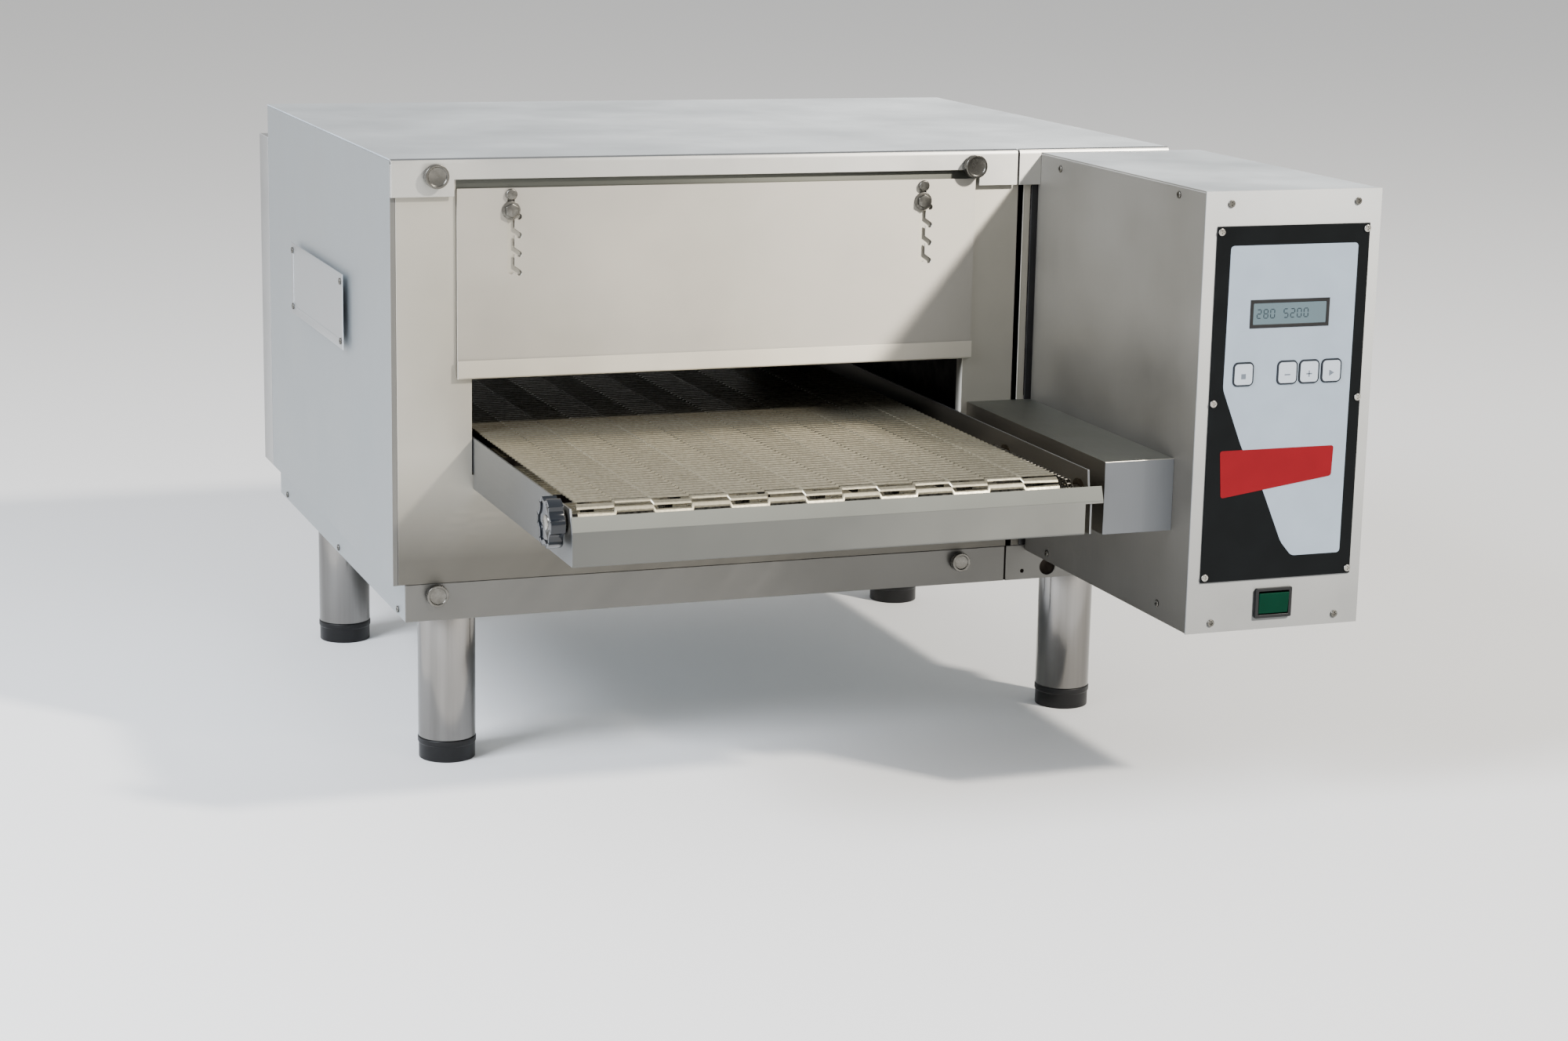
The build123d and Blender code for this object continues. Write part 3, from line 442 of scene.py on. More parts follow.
# %% Materials for the frame's own pieces
KEPT = {
    HEAT_BROWN_AND_SHADE: ("chamber_floor", "chamber_roof", "chamber_left_wall", "chamber_right_wall", "upper_jet_plate",
             "lower_jet_plate", "heating_elements", "belt_support_frame"),
    STEEL_BASE: ("bulkhead",),
    WOOL: ("insulation_slabs",),
    CAST_METAL: ("fan_motor", "fan_impeller", "gearmotor"),
    BRONZE: ("shaft_bushings",),
    CHAIN_STEEL: ("nose_shaft", "rear_shaft", "drive_shaft"),
    LAMINATE: ("control_board",),
}
for kept_material, kept_nodes in KEPT.items():
    for kept_name in kept_nodes:
        kept_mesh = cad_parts[kept_name].data
        kept_mesh.materials.clear()
        kept_mesh.materials.append(kept_material)

# %% [markdown]
# ## Legs and feet
# Each leg is a polished tube with a black levelling foot. A cylinder is added at the tube's size and
# its ends are bevelled. The foot is moulded in plastic with a flange round its top: a cylinder whose
# side is cut into rings by bisecting it, with everything under the flange drawn in towards the axis.
# A threaded stud joins the foot to the tube, and comes into sight as the foot is screwed out.

# %% Legs and feet
LEG_TOP, TUBE_LOW, TUBE_R = 0.0, mm_box("leg_tubes")[2][0], 28.7
FOOT_H, FLANGE_LOW, WAIST = 22.0, 16.5, 0.965
STUD_R, STUD_H, STUD_MIDDLE = 5, 29.6, 35
FOOT_NAMES = ("foot_front_left", "foot_front_right", "foot_rear_left", "foot_rear_right")


def cylinder(name, place, radius_mm, height_mm, vertices=48, turn=(0, 0, 0)):
    """A cylinder centred at a place, standing along z unless turned."""
    bpy.ops.object.select_all(action="DESELECT")
    bpy.ops.mesh.primitive_cylinder_add(vertices=vertices, radius=radius_mm * MM, depth=height_mm * MM,
                                        location=place, rotation=turn)
    bpy.context.object.name = name
    return bpy.context.object


def cut_ring(obj, height):
    """Bisects a whole mesh at a world height, which leaves a new ring of edges."""
    select_only(obj)
    bpy.ops.object.mode_set(mode="EDIT")
    bpy.ops.mesh.select_all(action="SELECT")
    bpy.ops.mesh.bisect(plane_co=(0, 0, height), plane_no=(0, 0, 1))
    bpy.ops.object.mode_set(mode="OBJECT")


def draw_in(obj, low, high, factor, centre):
    """Scales the vertices between two heights towards a vertical axis."""
    for vertex in obj.data.vertices:
        spot = obj.matrix_world @ vertex.co
        if low <= spot.z <= high:
            spot.x = centre.x + (spot.x - centre.x) * factor
            spot.y = centre.y + (spot.y - centre.y) * factor
            vertex.co = obj.matrix_world.inverted() @ spot


for foot_name in FOOT_NAMES:
    foot_x, foot_y, (foot_low, _) = mm_box(foot_name)
    middle = (sum(foot_x) / 2, sum(foot_y) / 2)
    tube_name = foot_name.replace("foot", "leg") + "_tube"
    tube = cylinder(tube_name, at(*middle, (TUBE_LOW + LEG_TOP) / 2), TUBE_R, LEG_TOP - TUBE_LOW, 96)
    bevel_edges(tube, 0.8)
    finished(tube, POLISHED_TUBE)
    pad = cylinder(foot_name + "_pad", at(*middle, foot_low + FOOT_H / 2), (foot_x[1] - foot_x[0]) / 2,
                   FOOT_H, 96)
    for ring in (FLANGE_LOW - 1, FLANGE_LOW):
        cut_ring(pad, at(0, 0, foot_low + ring).z)
    draw_in(pad, at(0, 0, foot_low - 1).z, at(0, 0, foot_low + FLANGE_LOW - 0.5).z, WAIST, at(*middle, 0))
    bevel_edges(pad, 2.2, 4)
    stud = cylinder(foot_name + "_stud", at(*middle, foot_low + STUD_MIDDLE), STUD_R, STUD_H, 32)
    bevel_edges(stud, 0.6, 2)
    finished(pad, BLACK_POLYAMIDE, foot_name)
    finished(stud, PLATED, foot_name)
    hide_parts(foot_name)
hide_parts("leg_tubes")

# %% [markdown]
# ## The wire belt
# The belt is a flat-flex conveyor belt: each wire crosses the whole width in a square wave, in
# thirteen blocks, and every other block sits half a pitch further on. The crossings are rolled flat, to
# carry a pan, so they catch the light as bars where the belt turns at the front. One wire is drawn as a
# curve with a round section, turned into a mesh, flattened, and repeated with an Array modifier. The
# flat belt is then wrapped round its two shafts: each point's distance along the belt says where it is
# on the straight runs or on the two half circles.

# %% Wire belt
belt_x, belt_y, belt_z = mm_box("mesh_belt")
SHAFT_HEIGHT = sum(belt_z) / 2
WIRE_R, WIRES, BLOCKS, BEND_HALF, EDGE_GAP = 1.05, 200, 13, 0.9, 2.0
BAR_REACH, BAR_SPREAD, BAND_HALF = 1.6, 3.6, 1.75


def loop_path(y, z, half_thickness):
    """The run, radius and two shafts of a closed band that fills these limits, in casing mm."""
    half_height = (z[1] - z[0]) / 2
    front, rear = y[0] + half_height, y[1] - half_height
    return rear - front, half_height - half_thickness, front, rear


def loop_length(path):
    """The length of a closed band along its middle."""
    return 2 * path[0] + 2 * math.pi * path[1]


def on_loop(path, distance, lift=0.0):
    """A place on a band as (y, z, turn), from the distance along it and the lift off its middle."""
    run, radius, front, rear = path
    half_turn, reach = math.pi * radius, radius + lift
    distance %= loop_length(path)
    if distance < run:
        return front + distance, SHAFT_HEIGHT + reach, 0.0
    distance -= run
    if distance < half_turn:
        turn = distance / radius
        return rear + reach * math.sin(turn), SHAFT_HEIGHT + reach * math.cos(turn), -turn
    distance -= half_turn
    if distance < run:
        return rear - distance, SHAFT_HEIGHT - reach, math.pi
    turn = (distance - run) / radius
    return front - reach * math.sin(turn), SHAFT_HEIGHT - reach * math.cos(turn), math.pi - turn


belt_path = loop_path(belt_y, belt_z, BAND_HALF)
PITCH = loop_length(belt_path) / WIRES
BLOCK_W = (belt_x[1] - belt_x[0] - EDGE_GAP - 2 * WIRE_R) / BLOCKS
half_steps = [PITCH / 2 if number % 2 else 0.0 for number in range(BLOCKS)]
wire_points = []
for number, offset in enumerate(half_steps):
    left = WIRE_R + number * BLOCK_W
    wire_points += [(left + BEND_HALF, offset), (left + BLOCK_W - BEND_HALF, offset)]

wire_curve = bpy.data.curves.new("belt_wire", "CURVE")
wire_curve.dimensions = "3D"
wire_spline = wire_curve.splines.new("POLY")
wire_spline.points.add(len(wire_points) - 1)
for spline_point, (flat_x, flat_y) in zip(wire_spline.points, wire_points):
    spline_point.co = (flat_x * MM, flat_y * MM, 0, 1)
wire_curve.bevel_depth, wire_curve.bevel_resolution = WIRE_R * MM, 1
wire_curve.use_fill_caps = True
belt = linked("wire_belt", wire_curve)
select_only(belt)
bpy.ops.object.convert(target="MESH")
belt = bpy.context.object
for vertex in belt.data.vertices:
    number = min(BLOCKS - 1, max(0, int((vertex.co.x / MM - WIRE_R) / BLOCK_W)))
    off_line = vertex.co.y - half_steps[number] * MM
    if abs(off_line) < BAR_REACH * MM:
        vertex.co.y = half_steps[number] * MM + off_line * BAR_SPREAD
repeat = belt.modifiers.new("repeated wires", "ARRAY")
repeat.use_relative_offset, repeat.use_constant_offset = False, True
repeat.constant_offset_displace = (0, PITCH * MM, 0)
repeat.count = WIRES
apply_all(belt)
for vertex in belt.data.vertices:
    loop_y, loop_z, _ = on_loop(belt_path, vertex.co.y / MM, vertex.co.z / MM)
    vertex.co = at(belt_x[0] + EDGE_GAP + vertex.co.x / MM, loop_y, loop_z)
finished(belt, BELT_WIRE)
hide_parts("mesh_belt")
print("belt wires", WIRES, "pitch", round(PITCH, 2), "mm,", len(belt.data.polygons), "faces")

# %% [markdown]
# ## Drive chain
# Beside the belt a small roller chain turns the front shaft. A link is two thin side plates and a
# roller. One link is made from three primitives joined into a single mesh, and copies of it stand
# round the chain's loop.

# %% Drive chain
chain_x, chain_y, chain_z = mm_box("drive_chain")
CHAIN_LINKS, CHAIN_HALF, LINK_PLAY = 52, 1.25, 0.4
ROLLER_R, ROLLER_W, LINK_R, LINK_T, LINK_SIDE = 1.1, 4.2, 1.2, 0.8, 2.4
ALONG_X = (0, math.pi / 2, 0)


def joined(name, objects):
    """Joins several objects into the first and names it."""
    bpy.ops.object.select_all(action="DESELECT")
    for obj in objects:
        obj.select_set(True)
    bpy.context.view_layer.objects.active = objects[0]
    bpy.ops.object.join()
    bpy.context.object.name = name
    return bpy.context.object


def block(name, x, y, z):
    """A cube shaped to limits in casing mm."""
    bpy.ops.object.select_all(action="DESELECT")
    middle = at(sum(x) / 2, sum(y) / 2, sum(z) / 2)
    bpy.ops.mesh.primitive_cube_add(size=1, location=middle)
    obj = bpy.context.object
    obj.name = name
    obj.scale = ((x[1] - x[0]) * MM, (y[1] - y[0]) * MM, (z[1] - z[0]) * MM)
    bpy.ops.object.transform_apply(location=False, rotation=False, scale=True)
    return obj


chain_path = loop_path(chain_y, chain_z, CHAIN_HALF)
link_length = loop_length(chain_path) / CHAIN_LINKS
half_stretch = (link_length / 2 - LINK_PLAY) * MM
link_parts = [cylinder("roller", (0, 0, 0), ROLLER_R, ROLLER_W, 12, ALONG_X)]
for side in (-LINK_SIDE, LINK_SIDE):
    link_parts.append(cylinder("link_plate", (side * MM, 0, 0), LINK_R, LINK_T, 12, ALONG_X))
for part in link_parts:
    select_only(part)
    bpy.ops.object.transform_apply(location=True, rotation=True, scale=True)
# Moving the two halves of a disc apart stretches it into a plate with round ends.
for plate in link_parts[1:]:
    for vertex in plate.data.vertices:
        if abs(vertex.co.y) > 0.001 * MM:
            vertex.co.y += math.copysign(half_stretch, vertex.co.y)
link = joined("chain_link", link_parts)
links = [link] + [linked("chain_link", link.data.copy()) for _ in range(1, CHAIN_LINKS)]
for index, piece in enumerate(links):
    spot_y, spot_z, turn = on_loop(chain_path, index * link_length)
    place = at(sum(chain_x) / 2, spot_y, spot_z)
    piece.matrix_world = Matrix.Translation(place) @ Matrix.Rotation(turn, 4, "X")
bpy.context.view_layer.update()
chain = joined("roller_chain", links)
finished(chain, CHAIN_STEEL)
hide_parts("drive_chain")
print("chain links", CHAIN_LINKS)

# %% [markdown]
# ## Knob on the belt shaft
# The hand knob that frees a stuck belt is a lobed thermoset moulding. A cylinder is the start. Six
# smaller cylinders are cut from its rim with Boolean modifiers for the finger grooves, its outer face
# is inset and pushed in for the cap, and a Bevel modifier rounds every edge that fingers touch.

# %% Belt knob
def cut_with(obj, cutters):
    """Cuts the cutters out of a piece and removes them."""
    for cutter in cutters:
        bite = obj.modifiers.new("bite", "BOOLEAN")
        bite.operation, bite.object, bite.solver = "DIFFERENCE", cutter, "EXACT"
    apply_all(obj)
    for cutter in cutters:
        bpy.data.objects.remove(cutter)


def select_faces(obj, keep):
    """In object mode, selects exactly the faces whose centre and normal pass a test."""
    for piece_edge in obj.data.edges:
        piece_edge.select = False
    for vertex in obj.data.vertices:
        vertex.select = False
    for face in obj.data.polygons:
        face.select = keep(obj.matrix_world @ face.center, obj.matrix_world.to_3x3() @ face.normal)


def sunk_face(obj, keep, inset_mm, depth_mm):
    """Insets the chosen face and moves its middle along its normal."""
    select_only(obj)
    select_faces(obj, keep)
    bpy.ops.object.mode_set(mode="EDIT")
    bpy.ops.mesh.select_mode(type="FACE")
    bpy.ops.mesh.inset(thickness=inset_mm * MM, depth=0)
    bpy.ops.mesh.extrude_region_shrink_fatten(TRANSFORM_OT_shrink_fatten={"value": -depth_mm * MM})
    bpy.ops.object.mode_set(mode="OBJECT")


KNOB_R, KNOB_W, GROOVES, GROOVE_R, GROOVE_OUT = 23, 13, 6, 8, 27
HUB_R, HUB_W, CAP_R, CAP_W, CAP_MIDDLE = 12, 4, 7, 3, 2.2
knob_x, knob_y, _ = mm_box("belt_knob")
knob_middle_x, knob_axis_y = knob_x[0] + KNOB_W / 2, sum(knob_y) / 2
knob = cylinder("belt_knob_body", at(knob_middle_x, knob_axis_y, SHAFT_HEIGHT), KNOB_R, KNOB_W, 96, ALONG_X)
grooves = []
for lobe in range(GROOVES):
    angle = math.radians(360 / GROOVES * lobe + 30)
    place = at(knob_middle_x, knob_axis_y + GROOVE_OUT * math.cos(angle),
               SHAFT_HEIGHT + GROOVE_OUT * math.sin(angle))
    grooves.append(cylinder("groove", place, GROOVE_R, KNOB_W + 7, 48, ALONG_X))
cut_with(knob, grooves)
sunk_face(knob, lambda centre, normal: normal.x < -0.9, 3.5, 1.6)
bevel_edges(knob, 1.3, 3, 35)
finished(knob, BLACK_THERMOSET, "nose_roller")
for disc_name, disc_x, disc_r, disc_w, edge_r in (
        ("belt_knob_hub", knob_x[1] - HUB_W / 2, HUB_R, HUB_W, 0.5),
        ("belt_knob_cap", knob_x[0] + CAP_MIDDLE, CAP_R, CAP_W, 0.8)):
    disc = cylinder(disc_name, at(disc_x, knob_axis_y, SHAFT_HEIGHT), disc_r, disc_w, 48, ALONG_X)
    bevel_edges(disc, edge_r, 2)
    finished(disc, PLATED, "nose_roller")
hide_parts("belt_knob")
print("belt knob", KNOB_R * 2, "mm across with", GROOVES, "grooves")

# %% [markdown]
# ## Thumb knobs
# Four turned stainless thumb knobs hold the rails. Each is a smooth round head with a shallow dish in
# its face, standing on a narrower boss: two cylinders, one of them inset and pushed in, with their edges
# rounded.

# %% Thumb knobs
KNOB_SPOTS = [(42.6, -6.0, 434.0, 11.6), (596.0, -6.0, 434.0, 11.6), (42.6, 0.0, 26.0, 10.8),
              (596.0, 0.0, 24.5, 9.8)]
THUMB_H, BOSS_R, BOSS_H, DISH_INSET, DISH_DEPTH = 9.0, 8.0, 2.0, 2.6, 1.1
TO_FRONT = (math.pi / 2, 0, 0)


def facing_front(name, place_mm, radius, depth, vertices=48):
    """A cylinder along y whose back face is at the given place."""
    x, y, z = place_mm
    return cylinder(name, at(x, y - depth / 2, z), radius, depth, vertices, TO_FRONT)


for number, (x, y, z, thumb_r) in enumerate(KNOB_SPOTS, start=1):
    head = facing_front(f"thumb_knob_{number}", (x, y - BOSS_H, z), thumb_r, THUMB_H - BOSS_H, 72)
    sunk_face(head, lambda centre, normal: normal.y < -0.95, DISH_INSET, DISH_DEPTH)
    bevel_edges(head, 1.6, 4, 50)
    boss = facing_front(f"thumb_knob_boss_{number}", (x, y, z), BOSS_R, BOSS_H)
    bevel_edges(boss, 0.3, 2)
    thumb = joined(f"thumb_knob_{number}", [head, boss])
    finished(thumb, TURNED_KNOB)
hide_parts("panel_knobs")

# %% [markdown]
# ## Small screws
# The small screws are pan heads with a cross recess. One is modelled: a short cylinder with a round top,
# from which two crossed cubes are cut. It is then turned to face the way each screw points, and copied
# to the places where the sheets are held.

# %% Small screws
SCREW_R, SCREW_H, HEAD_ROUND = 3.5, 1.5, 0.55
RECESS_LONG, RECESS_DEEP, RECESS_WIDE = 1.15, 1.1, 0.28


def pan_head(name, radius, height):
    """A pan-head screw at the origin, its face towards -y, with a cross recess."""
    head = cylinder(name, (0, -height * MM / 2, 0), radius, height, 32, TO_FRONT)
    bevel_edges(head, height * HEAD_ROUND, 4, 60)
    cuts = []
    for turned in (0, math.pi / 2):
        bpy.ops.object.select_all(action="DESELECT")
        bpy.ops.mesh.primitive_cube_add(size=1, location=(0, -height * MM, 0), rotation=(0, turned, 0))
        bpy.context.object.scale = (radius * RECESS_LONG * MM, height * RECESS_DEEP * MM,
                                    radius * RECESS_WIDE * MM)
        cuts.append(bpy.context.object)
    cut_with(head, cuts)
    select_only(head)
    bpy.ops.object.transform_apply(location=True, rotation=True, scale=True)
    return head


def place_screws(name, pattern, spots, turn, material=DULL_SCREW, node=None):
    """Copies a screw to casing places, all turned the same way, as one piece."""
    copies = []
    for spot in spots:
        copy = linked(name, pattern.data.copy())
        copy.matrix_world = Matrix.Translation(at(*spot)) @ Matrix.Rotation(turn, 4, "Z")
        copies.append(copy)
    bpy.context.view_layer.update()
    group = joined(name, copies)
    finished(group, material)
    if node:
        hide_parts(node)
    print(name, len(spots))


def grid(xs, y, zs):
    """Places on one upright plane, at every pairing of xs and zs."""
    return [(x, y, z) for x in xs for z in zs]


small_screw = pan_head("small_screw", SCREW_R, SCREW_H)
overlay_front = mm_box("control_overlay")[1][0]
fascia_y = mm_box("control_front_panel")[1][0]
rear_y = mm_box("rear_cover")[1][1]
badge_x, badge_y, badge_z = mm_box("badge_plate")
box_x, base_x = mm_box("control_box_casing")[0], mm_box("base_tray")[0]
BOX_SCREWS = [(-52.0, 434.5), (-307.0, 437.5), (-301.0, 47.0), (-54.5, 40.0)]
BASE_SCREWS = [(31.0, 6.0), (307.0, 6.0), (584.0, 6.0)]
BADGE_INSET = 8
left_spots, right_spots = ([(box_x[side], *spot) for spot in BOX_SCREWS]
                           + [(base_x[side], *spot) for spot in BASE_SCREWS] for side in (0, 1))
left_spots += [(badge_x[0], y, z) for y in (badge_y[0] + BADGE_INSET, badge_y[1] - BADGE_INSET)
               for z in (badge_z[0] + BADGE_INSET, badge_z[1] - BADGE_INSET)]
overlay_spots = grid((687.5, 839.5), overlay_front, (409.0, 250.0, 85.0))
fascia_spots = grid((697.0, 829.0), fascia_y, (434.5, 40.5))
rear_spots = grid((12.0, 330.0, 640.0, 803.0), rear_y, (46.0, 404.0))
place_screws("left_side_screws", small_screw, left_spots, -math.pi / 2, node="casing_screws")
place_screws("right_side_screws", small_screw, right_spots, math.pi / 2)
place_screws("overlay_screws", small_screw, overlay_spots, 0, PLATED, "control_screws")
place_screws("fascia_screws", small_screw, fascia_spots, 0)
place_screws("rear_cover_screws", small_screw, rear_spots, math.pi)
bpy.data.objects.remove(small_screw)

# %% [markdown]
# ## Gate screws
# Each slot in the gate has a large clamp screw on a washer, and a small stop screw above it. The clamp
# is a hexagon head: a cylinder with six sides, with its edges rounded, on a thin washer.

# %% Gate screws
SLOT_XS, CLAMP_Z, STOP_Z = (117.0, 543.0), 399.5, 415.0
# Each piece: its back face's y, its z, its radius, depth and sides, and how its edges are rounded.
GATE_PIECES = {
    "washer": (-3.8, CLAMP_Z, 9, 1.3, 48, (0.3, 2)), "hexagon": (-5.1, CLAMP_Z, 7.2, 4.2, 6, (0.7, 3)),
    "stop": (-3.8, STOP_Z, 5.5, 3.6, 48, (1.2, 4)), "shank": (0, CLAMP_Z, 3, 4, 48, None),
    "stop_shank": (0, STOP_Z, 3, 4, 48, None),
}
gate_hardware = []
for number, slot_x in enumerate(SLOT_XS, start=1):
    turned_pieces = []
    for piece_name, (back_y, z, radius, depth, sides, rounding) in GATE_PIECES.items():
        turned = facing_front(f"{piece_name}_{number}", (slot_x, back_y, z), radius, depth, sides)
        if rounding:
            bevel_edges(turned, *rounding)
        turned_pieces.append(turned)
    gate_hardware.append(joined(f"gate_screw_{number}", turned_pieces))
for piece in gate_hardware:
    finished(piece, DULL_SCREW)
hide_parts("gate_screws")
print("gate screws", len(gate_hardware))

# %% [markdown]
# ## Painted shadows over the gate and beside the control box
# Over the gate, a dark strip in the gap under the rail is painted shadow. A black block in the corner
# between the casing and the control box is painted shade. Each is a long block with rounded edges.

# %% Painted shadows over the gate and beside the box
gate_x, _, gate_z = mm_box("gate")
RAIL_NOTCH_Z, SHADOW_STRIP_T, GAP_SHADE_W, GAP_SHADE_T, PLAY = 430.0, 0.8, 7.6, 1.5, 0.2
front_y = mm_box("front_panel")[1][0]
gap_shade_z = (mm_box("right_front_panel")[2][0] + PLAY, mm_box("right_top_rail")[2][0] - PLAY)
shadow_strip_z = (gate_z[1] - 2, RAIL_NOTCH_Z - PLAY)
shadow_strip = block("painted_shadow_under_rail", gate_x, (front_y - SHADOW_STRIP_T, front_y), shadow_strip_z)
bevel_edges(shadow_strip, 0.25, 2)
finished(shadow_strip, STEEL_SHADOW_STRIP)
# A black block in the gap beside the control box, as painted shade.
gap_shade_x = (box_x[0] - GAP_SHADE_W, box_x[0] - PLAY / 2)
gap_shade = block("control_box_gap_shade", gap_shade_x, (front_y - GAP_SHADE_T, front_y), gap_shade_z)
bevel_edges(gap_shade, 0.6, 3)
finished(gap_shade, BLACK_POLYAMIDE)

# %% [markdown]
# ## Badge plate
# The plate on the left wall stands off on short spacers. It is left blank, with a pressed border: a
# cube, whose outer face is inset and pushed in a little.

# %% Badge plate
badge = block("badge", badge_x, badge_y, badge_z)
bevel_edges(badge, 0.35, 2)
sunk_face(badge, lambda centre, normal: normal.x < -0.99, 9.0, 0.3)
finished(badge, STEEL_BADGE)
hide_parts("badge_plate")

# %% [markdown]
# ## Control front
# The black film carries a silver field with a stepped left edge, and a blank red flag. Both are thin
# prints, so each is a flat outline given a fifth of a millimetre of thickness. The field's outline has
# only its corners, and holes for the keys and the display are cut out of it.

# %% Printed fields
PRINT_T = 0.2


def printed_shape(name, outline, front, corner_mm=0.0):
    """A thin flat print whose outline is given as (x, z) corners in casing mm."""
    shape = bpy.data.meshes.new(name)
    shape.from_pydata([at(x, front + PRINT_T, z) for x, z in outline], [], [list(range(len(outline)))])
    obj = linked(name, shape)
    select_only(obj)
    bpy.ops.object.mode_set(mode="EDIT")
    bpy.ops.mesh.select_all(action="SELECT")
    if corner_mm:
        bpy.ops.mesh.bevel(offset=corner_mm * MM, segments=5, affect="VERTICES")
        bpy.ops.mesh.select_all(action="SELECT")
    bpy.ops.mesh.extrude_region_move(TRANSFORM_OT_translate={"value": (0, -PRINT_T * MM, 0)})
    bpy.ops.mesh.select_all(action="SELECT")
    bpy.ops.mesh.normals_make_consistent(inside=False)
    bpy.ops.object.mode_set(mode="OBJECT")
    return obj


def rectangle(x, z):
    """The four corners of an upright rectangle."""
    return [(x[0], z[0]), (x[1], z[0]), (x[1], z[1]), (x[0], z[1])]


display_x, display_y, display_z = mm_box("display_window")
FIELD = [(698, 396), (831, 396), (830, 101), (778, 101), (766, 115), (744, 166), (719, 208), (697, 263)]
FLAG = [(697, 205), (817, 205), (816, 176), (700, 160)]
field = printed_shape("silver_field", FIELD, overlay_front - PRINT_T, 3.5)
KEY_NAMES = ("key_1", "key_2", "key_3", "key_4")
KEY_CORNER, KEY_CLEARANCE = 4.6, 0.4


def round_edges(obj, keep, radius_mm, segments):
    """Rounds the edges whose two ends pass a test, in edit mode."""
    select_only(obj)
    bpy.ops.object.mode_set(mode="EDIT")
    bpy.ops.mesh.select_mode(type="EDGE")
    mesh = bmesh.from_edit_mesh(obj.data)
    for edge in mesh.edges:
        edge.select = keep(*(vertex.co for vertex in edge.verts))
    bmesh.update_edit_mesh(obj.data)
    bpy.ops.mesh.bevel(offset=radius_mm * MM, segments=segments, affect="EDGES")
    bpy.ops.object.mode_set(mode="OBJECT")


def rounded_block(name, x, y, z, corner_mm):
    """A block whose four edges along y are rounded."""
    obj = block(name, x, y, z)
    round_edges(obj, lambda start, end: abs(start.y - end.y) > 1 * MM, corner_mm, 8)
    return obj


through = (overlay_front - 3, overlay_front + 3)
cutters = [block("cutter", display_x, through, display_z)]
for key_name in KEY_NAMES:
    key_x, _, key_z = mm_box(key_name)
    wide, tall = ((low - KEY_CLEARANCE, high + KEY_CLEARANCE) for low, high in (key_x, key_z))
    cutters.append(rounded_block("cutter", wide, through, tall, KEY_CORNER + KEY_CLEARANCE))
cut_with(field, cutters)
finished(field, SILVER_FILM)
flag = printed_shape("red_flag", FLAG, overlay_front - 2 * PRINT_T, 2.5)
finished(flag, RED_FILM)

# %% [markdown]
# ## Display
# The display is a dark frame round a grey-blue liquid crystal window. The figures are plain seven-bar
# digits, each bar a thin hexagon, so they read as a temperature and a time without any lettering.

# %% Display
BEZEL_W, BEZEL_STEP, WINDOW_INSET, WINDOW_SUNK, DIGIT_OUT = 3.0, 0.35, 3.4, 0.28, 0.12
bezel = block("display_bezel", display_x, (display_y[0], overlay_front), display_z)
sunk_face(bezel, lambda centre, normal: normal.y < -0.99, BEZEL_W, BEZEL_STEP)
bevel_edges(bezel, 0.2, 2)
finished(bezel, BLACK_POLYAMIDE)
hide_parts("display_window")
WINDOW_X, WINDOW_Z = ((low + WINDOW_INSET, high - WINDOW_INSET) for low, high in (display_x, display_z))
window_front = display_y[0] + WINDOW_SUNK
window = printed_shape("display_glass", rectangle(WINDOW_X, WINDOW_Z), window_front, 0.8)
finished(window, LCD_FIELD)

FIGURES, DIGIT_LEFT, DIGIT_STEP = "280 5200", 6, 7.0
BARS = {"0": "abcdef", "2": "abdeg", "5": "acdfg", "8": "abcdefg"}
DIGIT_W, DIGIT_H, BAR_T, BAR_GAP = 4.2, 8.0, 0.9, 0.3


def bar(x, z, along_x):
    """One bar of a digit, as a pointed strip."""
    half = (DIGIT_W if along_x else DIGIT_H / 2) / 2 - BAR_GAP
    ends = [(-half, 0), (-half + BAR_T / 2, BAR_T / 2), (half - BAR_T / 2, BAR_T / 2), (half, 0),
            (half - BAR_T / 2, -BAR_T / 2), (-half + BAR_T / 2, -BAR_T / 2)]
    if along_x:
        return [(x + a, z + b) for a, b in ends]
    return [(x + b, z + a) for a, b in ends]


BAR_SPOTS = {"a": (0, 1, True), "b": (0.5, 0.5, False), "c": (0.5, -0.5, False), "d": (0, -1, True),
             "e": (-0.5, -0.5, False), "f": (-0.5, 0.5, False), "g": (0, 0, True)}
digit_bars = []
digit_x = WINDOW_X[0] + DIGIT_LEFT
for figure in FIGURES:
    for bar_name in BARS.get(figure, ""):
        side, level, along_x = BAR_SPOTS[bar_name]
        outline = bar(digit_x + side * DIGIT_W, sum(WINDOW_Z) / 2 + level * DIGIT_H / 2, along_x)
        digit_bars.append(printed_shape("digit_bar", outline, window_front - DIGIT_OUT))
    digit_x += DIGIT_STEP
digits = joined("display_digits", digit_bars)
finished(digits, LCD_DIGITS)
print("display bars", len(digit_bars))

# %% [markdown]
# ## Keys
# Each key is a bump in the film, a pale rounded square with a dark outline and a small sign. The frame
# gives its size. A block is rounded at its four corners, its face is inset for the outline, and the
# ring outside the inset keeps the ink.

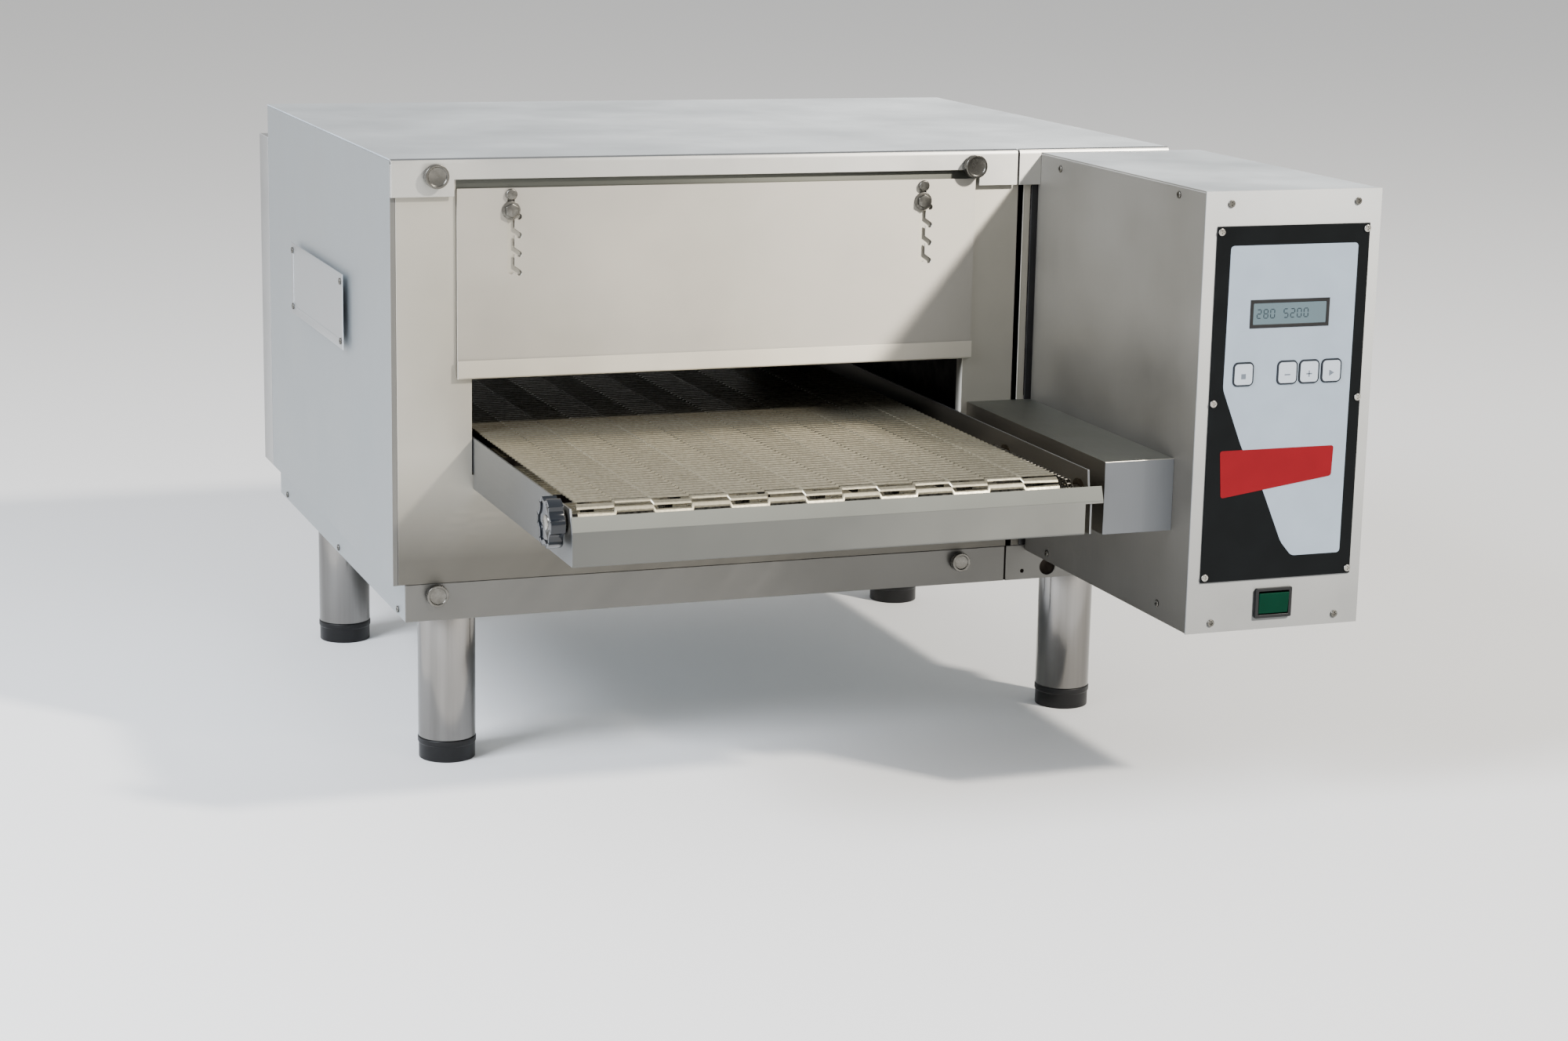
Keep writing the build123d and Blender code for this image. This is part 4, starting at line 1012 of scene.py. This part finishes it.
# %% Keys
KEY_SIGNS = {
    "key_1": [rectangle((-2.4, 2.4), (-2.4, 2.4))],
    "key_2": [rectangle((-3, 3), (-0.6, 0.6))],
    "key_3": [rectangle((-3, 3), (-0.6, 0.6)), rectangle((-0.6, 0.6), (-3, 3))],
    "key_4": [[(-2.4, -3), (3, 0), (-2.4, 3)]],
}
KEY_RING, SIGN_DROP, SIGN_OUT = 1.3, 2.0, 0.05
for key_name in KEY_NAMES:
    key_x, key_y, key_z = mm_box(key_name)
    key = rounded_block(key_name + "_cap", key_x, key_y, key_z, KEY_CORNER)
    select_only(key)
    select_faces(key, lambda centre, normal: normal.y < -0.99)
    bpy.ops.object.mode_set(mode="EDIT")
    bpy.ops.mesh.select_mode(type="FACE")
    bpy.ops.mesh.inset(thickness=KEY_RING * MM, depth=0)
    bpy.ops.object.mode_set(mode="OBJECT")
    inner = [face.index for face in key.data.polygons if face.select]
    finished(key, INK, key_name)
    key.data.materials.append(PALE_FILM)
    for face_index in inner:
        key.data.polygons[face_index].material_index = 1
    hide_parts(key_name)
    middle = (sum(key_x) / 2, sum(key_z) / 2 - SIGN_DROP)
    signs = [printed_shape("sign", [(middle[0] + a, middle[1] + b) for a, b in outline],
                           key_y[0] - SIGN_OUT) for outline in KEY_SIGNS[key_name]]
    sign = joined(key_name + "_sign", signs)
    finished(sign, GREY_INK, key_name)
print("keys", len(KEY_NAMES))

# %% [markdown]
# ## Power switch
# The rocker is a dark green lens in a black frame. Unlit, the lens is deep in colour and reflects very
# little, so its shader has almost no specular.

# %% Power switch
rounded_copy("power_switch_housing", BLACK_POLYAMIDE, 0.5, segments=3)
rounded_copy("power_rocker", GREEN_LENS, 0.8, "power_rocker", 3)

# %% [markdown]
# ## Louvre hoods
# Air for the motors goes in at the rear through twelve slots. Each slot is pressed out with a small
# hood above it, which keeps splashes out. One hood is a block with its outer top edge rounded over, and
# the other eleven are copies moved up by the pitch.

# %% Louvre hoods
LOUVRE_X, LOUVRE_LOW, LOUVRE_PITCH, LOUVRES, SLOT_H = (668, 792), 150.0, 14.0, 12, 5.0
HOOD_IN, HOOD_OUT, HOOD_LAP, HOOD_ROUND = 0.5, 5, 1, 4.2
hood_low = LOUVRE_LOW + SLOT_H
hood_y, hood_z = (rear_y - HOOD_IN, rear_y + HOOD_OUT), (hood_low - HOOD_LAP, hood_low + HOOD_OUT)
hood = block("hood", LOUVRE_X, hood_y, hood_z)
round_edges(hood, lambda start, end: (start + end).y > 0 and (start + end).z > 0, HOOD_ROUND, 6)
bevel_edges(hood, 0.5, 2)
hoods = [hood]
for row in range(1, LOUVRES):
    copy = linked("hood", hood.data.copy())
    copy.location = hood.location + Vector((0, 0, row * LOUVRE_PITCH * MM))
    hoods.append(copy)
bpy.context.view_layer.update()
louvre_hoods = joined("louvre_hoods", hoods)
finished(louvre_hoods, STEEL_REAR)
print("louvre hoods", LOUVRES)

# %% [markdown]
# ## Floor and light
# A pale floor and a white surround give brushed metal something plain to reflect. A small lamp far off,
# up on the right, throws the shadows of the control box and the tray across the front, with a clear
# edge. A wider, cooler and weaker lamp nearby on the left fills the side wall and puts a second streak
# on each leg.

# %% Floor and light
FLOOR_R, SURROUND = 30, 0.84
bpy.ops.object.select_all(action="DESELECT")
bpy.ops.mesh.primitive_circle_add(vertices=96, radius=FLOOR_R, fill_type="NGON", location=(0, 0, 0))
floor = bpy.context.object
floor.name = "floor"
floor_material, floor_shader = new_material("matt_white_floor")
fill(floor_shader, Base_Color=linear("#DDDDDC"), Roughness=0.9)
floor.data.materials.append(floor_material)

world = bpy.data.worlds.new("white_surround")
bpy.context.scene.world = world
world.use_nodes = True
fill(world.node_tree.nodes["Background"], Color=linear("#FFFFFF"), Strength=SURROUND)


def soft_lamp(name, target, direction, distance, size, power, colour):
    """A square area lamp at a distance from a point, aimed at it."""
    bpy.ops.object.select_all(action="DESELECT")
    bpy.ops.object.light_add(type="AREA", location=target + direction.normalized() * distance)
    lamp = bpy.context.object
    lamp.name = name
    lamp.data.size, lamp.data.energy, lamp.data.color = size, power, linear(colour)[:3]
    lamp.rotation_euler = (-direction).to_track_quat("-Z", "Y").to_euler()
    return lamp


gate_middle = at(330, 0, 250)
soft_lamp("key_lamp", gate_middle, Vector((1.0, -1.26, 1.12)), 8.0, 0.5, 1130, "#FFF8EE")
soft_lamp("fill_lamp", gate_middle, Vector((-1.6, -0.6, 1.1)), 3.6, 1.6, 310, "#EEF4FF")
